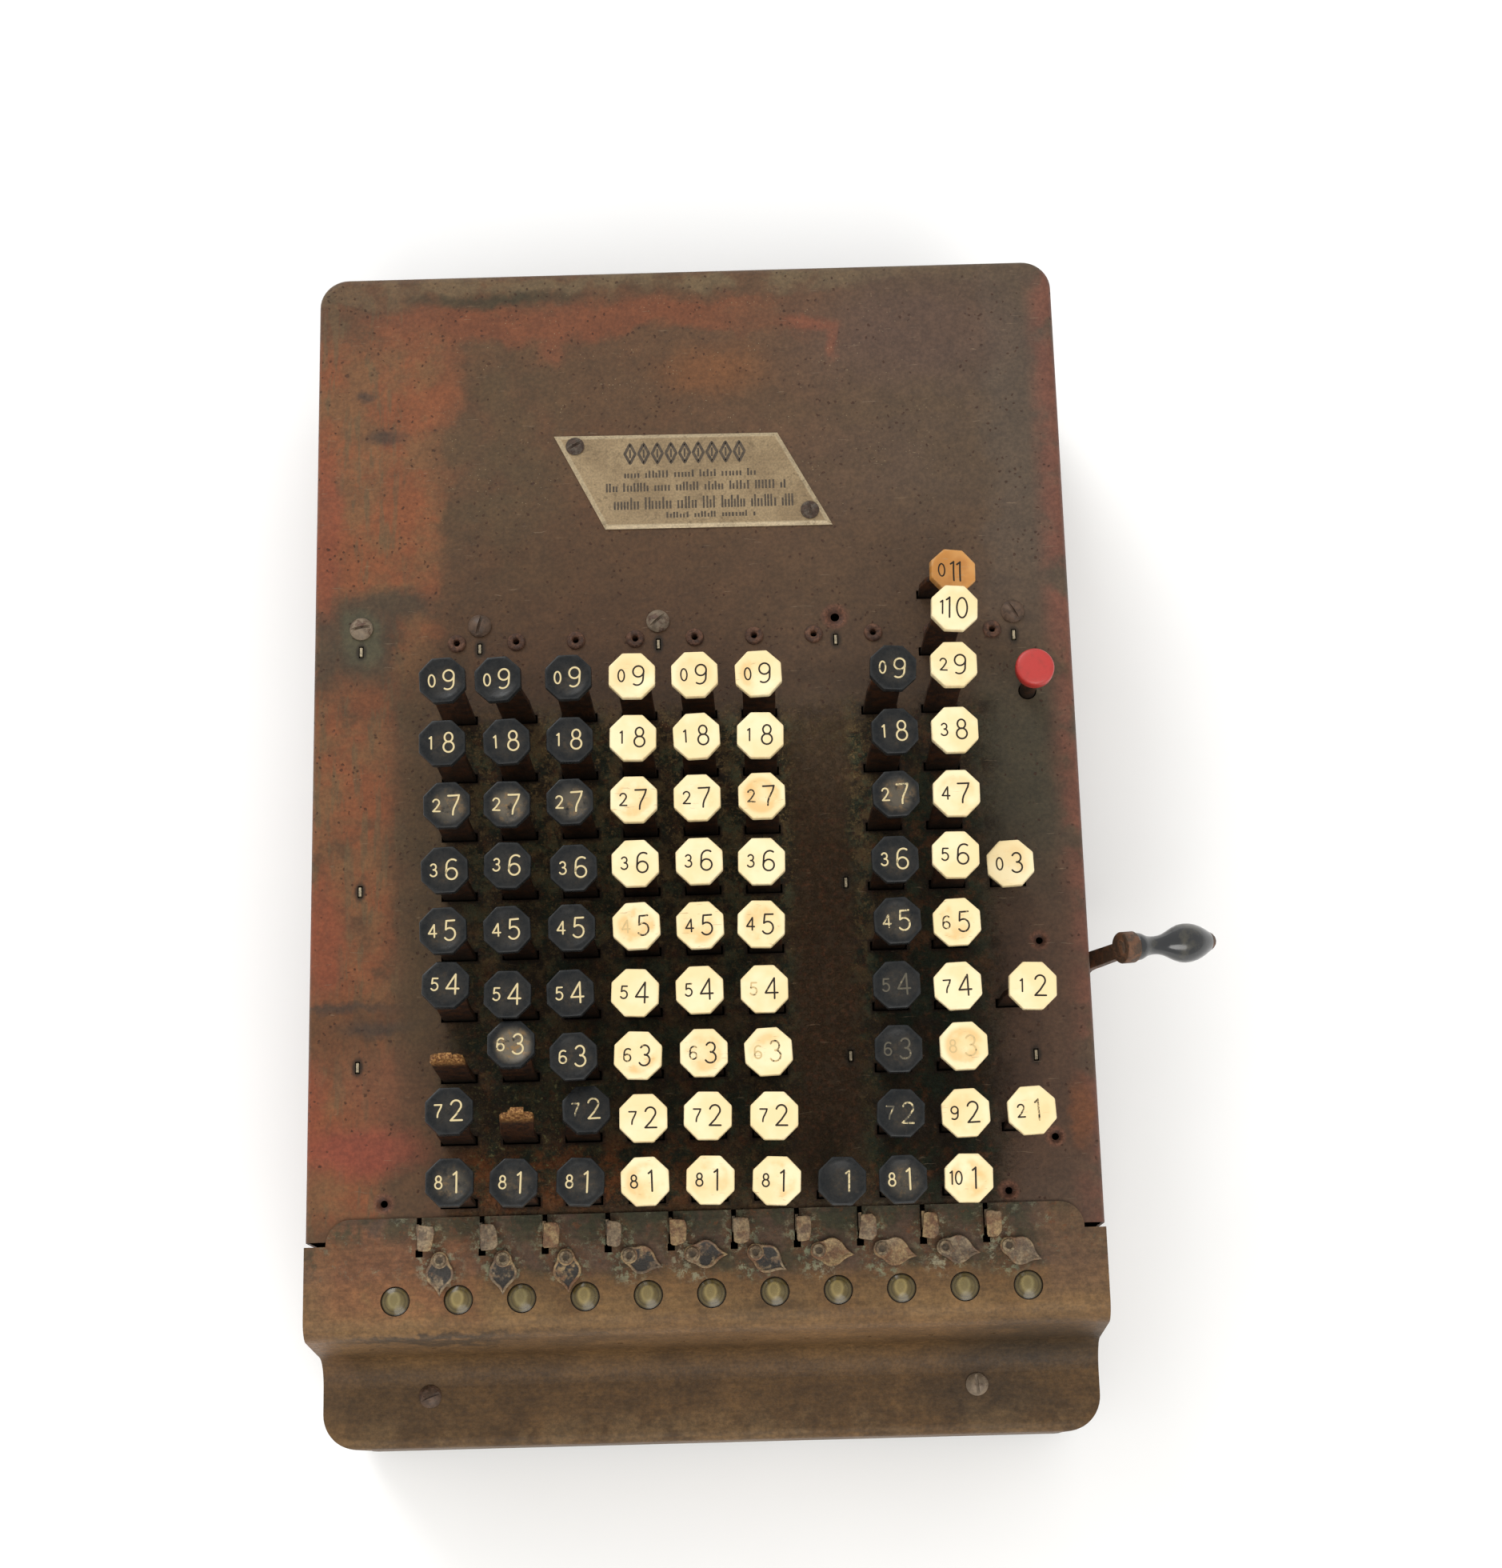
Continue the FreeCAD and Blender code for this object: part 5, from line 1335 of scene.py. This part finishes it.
def build_lever():
    """Flat arm that leans outwards to a round boss, on its hub and shaft."""
    shape = Shape()
    section = [(-1.45, -0.36), (-1.1, -0.5), (1.1, -0.5), (1.45, -0.36)]
    section += [(-u, -v) for u, v in section]
    rings = []
    for x, z, width, lean in ARM:
        a = math.radians(lean)
        rings.append([(x + u * math.cos(a), LEVER_Y + v * width, z - u * math.sin(a)) for u, v in section])
    shape.add(*loft(rings))
    # Boss with a raised rivet end on its inner face.
    boss = [(0.4, -0.35), (1.5, -0.32), (2.3, -0.18), (2.55, 0), (2.75, 0.12), (4.2, 0), (4.75, 0.18),
            (4.95, 0.55), (4.95, 4.6), (4.7, 5), (0.4, 5.08)]
    shape.add(*turned(boss, 48, on_grip))
    hub = [(0.4, 0), (7.6, 0), (8, 0.35), (8, 2.65), (7.6, 3), (0.4, 3)]
    shape.add(*turned(hub, 48, lambda p: on_shaft(p, HUB_X)))
    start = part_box("zero_lever")[0].x / MM
    shaft = [(0.4, start), (4.6, start), (4.95, start + 0.35), (4.95, 122.7), (0.4, 122.7)]
    shape.add(*turned(shaft, 48, on_shaft))
    shape.build("zero_lever_arm", "zero_lever", ["lever"], "lever_iron", ["zero_lever"])


build_lever()
build_grip()


# ---------------------------------------------------------------- nameplate
PLATE = ((-43.8, 130.6), (29.2, 129.9), (46.2, 97.6), (-27.4, 98))
PLATE_T = 0.9
LOZENGES = 9
LOZENGE_X = -19
LOZENGE_Y = 123.6
LOZENGE_PITCH = 4.45
LOZENGE_HALF = 1.7
TICK_W = 0.62
# Rows of ticks, as (x from, x to, y, half height).
TICK_ROWS = ((-21, 21.5, 116.4, 1.25), (-27, 31, 112, 1.5), (-24.5, 34, 106.4, 2.1),
             (-7.5, 21.5, 102.2, 1))


def plate_ring(inset, z):
    """The plate's four sides moved in by inset, each corner doubled for a crisp edge."""
    pts = [Vector(p) for p in PLATE]
    ring = []
    for i in range(4):
        before = (pts[i] - pts[i - 1]).normalized()
        after = (pts[(i + 1) % 4] - pts[i]).normalized()
        inward = Vector((before.y, -before.x)) + Vector((after.y, -after.x))
        inward = inward / max(0.3, (1 + before.dot(after)))
        q = pts[i] + inward * inset
        ring.append((q.x, q.y, z))
    return ring


def add_rule(shape, x0, x1, y, half):
    """A thin engraved rule, filled dark, across the plate."""
    verts = []
    for x in (x0, x1):
        for dy, dz in ((-half, -0.2), (half, -0.2), (half, 0.02), (-half, 0.02)):
            verts.append((x, y + dy, CASE_TOP + PLATE_T + dz))
    faces = [(0, 1, 2, 3), (7, 6, 5, 4), (0, 4, 5, 1), (1, 5, 6, 2), (2, 6, 7, 3), (3, 7, 4, 0)]
    shape.add(verts, faces, INK_SLOT, None, 1)


def on_plate(p):
    """Moves a point made on a flat cap's face down to the plate's face."""
    return (p[0], p[1], p[2] - CAP_T + CASE_TOP + PLATE_T)


def add_ticks(shape, x0, x1, y, half, rng):
    """A run of short upright cuts of two heights, in uneven groups."""
    x = x0
    left = rng.randint(4, 8)
    while x < x1:
        tall = half if rng.random() < 0.45 else half * 0.66
        add_rule(shape, x, x + TICK_W, y - (half - tall) * 0.9, tall)
        x += rng.uniform(0.95, 1.25)
        left -= 1
        if left == 0:
            x += 1.5
            left = rng.randint(4, 8)


def build_plate():
    """Blank plate with a bevelled edge; its engraving is ornament only, with no lettering."""
    shape = Shape()
    rings = [plate_ring(0, CASE_TOP), plate_ring(0, CASE_TOP + 0.35), plate_ring(1.1, CASE_TOP + PLATE_T),
             plate_ring(1.6, CASE_TOP + PLATE_T)]
    verts, faces = loft(rings)
    shape.add(verts, faces, 0, None, [0] * 12 + [1] * 4)
    for i in range(LOZENGES):
        x = LOZENGE_X + i * LOZENGE_PITCH
        left = (x - LOZENGE_HALF, LOZENGE_Y)
        outline = [left, (x, LOZENGE_Y + 2 * LOZENGE_HALF), (x + LOZENGE_HALF, LOZENGE_Y),
                   (x, LOZENGE_Y - 2 * LOZENGE_HALF), left]
        add_stroke(shape, on_plate, outline, 0.46, False, 0, 1, 1, 0)
        add_rule(shape, x - 0.3, x + 0.3, LOZENGE_Y, 1.5)
    rng = random.Random(3)
    for x0, x1, y, half in TICK_ROWS:
        add_ticks(shape, x0, x1, y, half, rng)
    shape.build("nameplate_blank", "case", ["plate", "fill"], "plate_nickel", ["nameplate"], smooth=20)


build_plate()


# ---------------------------------------------------------------- floor, light, camera
def pale_floor():
    """Matt, nearly white table top."""
    g = Graph("pale_floor")
    grain = g.noise(0.01, 3, 0.5)
    g.set(Base_Color=g.mix(g.ramp(grain, 0.3, 0.7), (0.93, 0.93, 0.92), (0.95, 0.95, 0.94)), Roughness=0.9)
    return g.mat


FLOOR_HALF = 6             # metres
FLOOR_Z = -0.0005
CORNERS = ((-1, -1), (1, -1), (1, 1), (-1, 1))
mesh = bpy.data.meshes.new("floor")
mesh.from_pydata([(u * FLOOR_HALF, v * FLOOR_HALF, FLOOR_Z) for u, v in CORNERS], [], [(0, 1, 2, 3)])
mesh.materials.append(pale_floor())
floor = bpy.data.objects.new("floor", mesh)
bpy.context.scene.collection.objects.link(floor)


def area_light(name, place, target, size, power, colour):
    """Round soft light aimed at a target."""
    light = bpy.data.lights.new(name, "AREA")
    light.shape = "DISK"
    light.size = size
    light.energy = power
    light.color = colour
    obj = bpy.data.objects.new(name, light)
    obj.location = place
    obj.rotation_euler = (Vector(target) - Vector(place)).to_track_quat("-Z", "Y").to_euler()
    bpy.context.scene.collection.objects.link(obj)


area_light("window", (-1.7, 3.2, 2.7), (0, 0, 0.05), 2.2, 78, (0.98, 0.99, 1))
area_light("room", (0.6, -2.6, 3.6), (0, 0, 0.05), 3, 95, (1, 0.98, 0.95))

world = bpy.data.worlds.new("studio")
world.use_nodes = True
world.node_tree.nodes["Background"].inputs[0].default_value = (1, 1, 1, 1)
world.node_tree.nodes["Background"].inputs[1].default_value = 0.80
bpy.context.scene.world = world

CAMERA_AT = (0.0194, -0.1988, 0.9168)
CAMERA_TURN = (14.477, 0.510, -1.476)
CAMERA_LENS = 61.2
camera_data = bpy.data.cameras.new("camera")
camera_data.sensor_width = 36
camera_data.lens = CAMERA_LENS
camera = bpy.data.objects.new("camera", camera_data)
camera.location = CAMERA_AT
camera.rotation_euler = [math.radians(angle) for angle in CAMERA_TURN]
bpy.context.scene.collection.objects.link(camera)
bpy.context.scene.camera = camera
bpy.context.scene.view_settings.view_transform = "Standard"
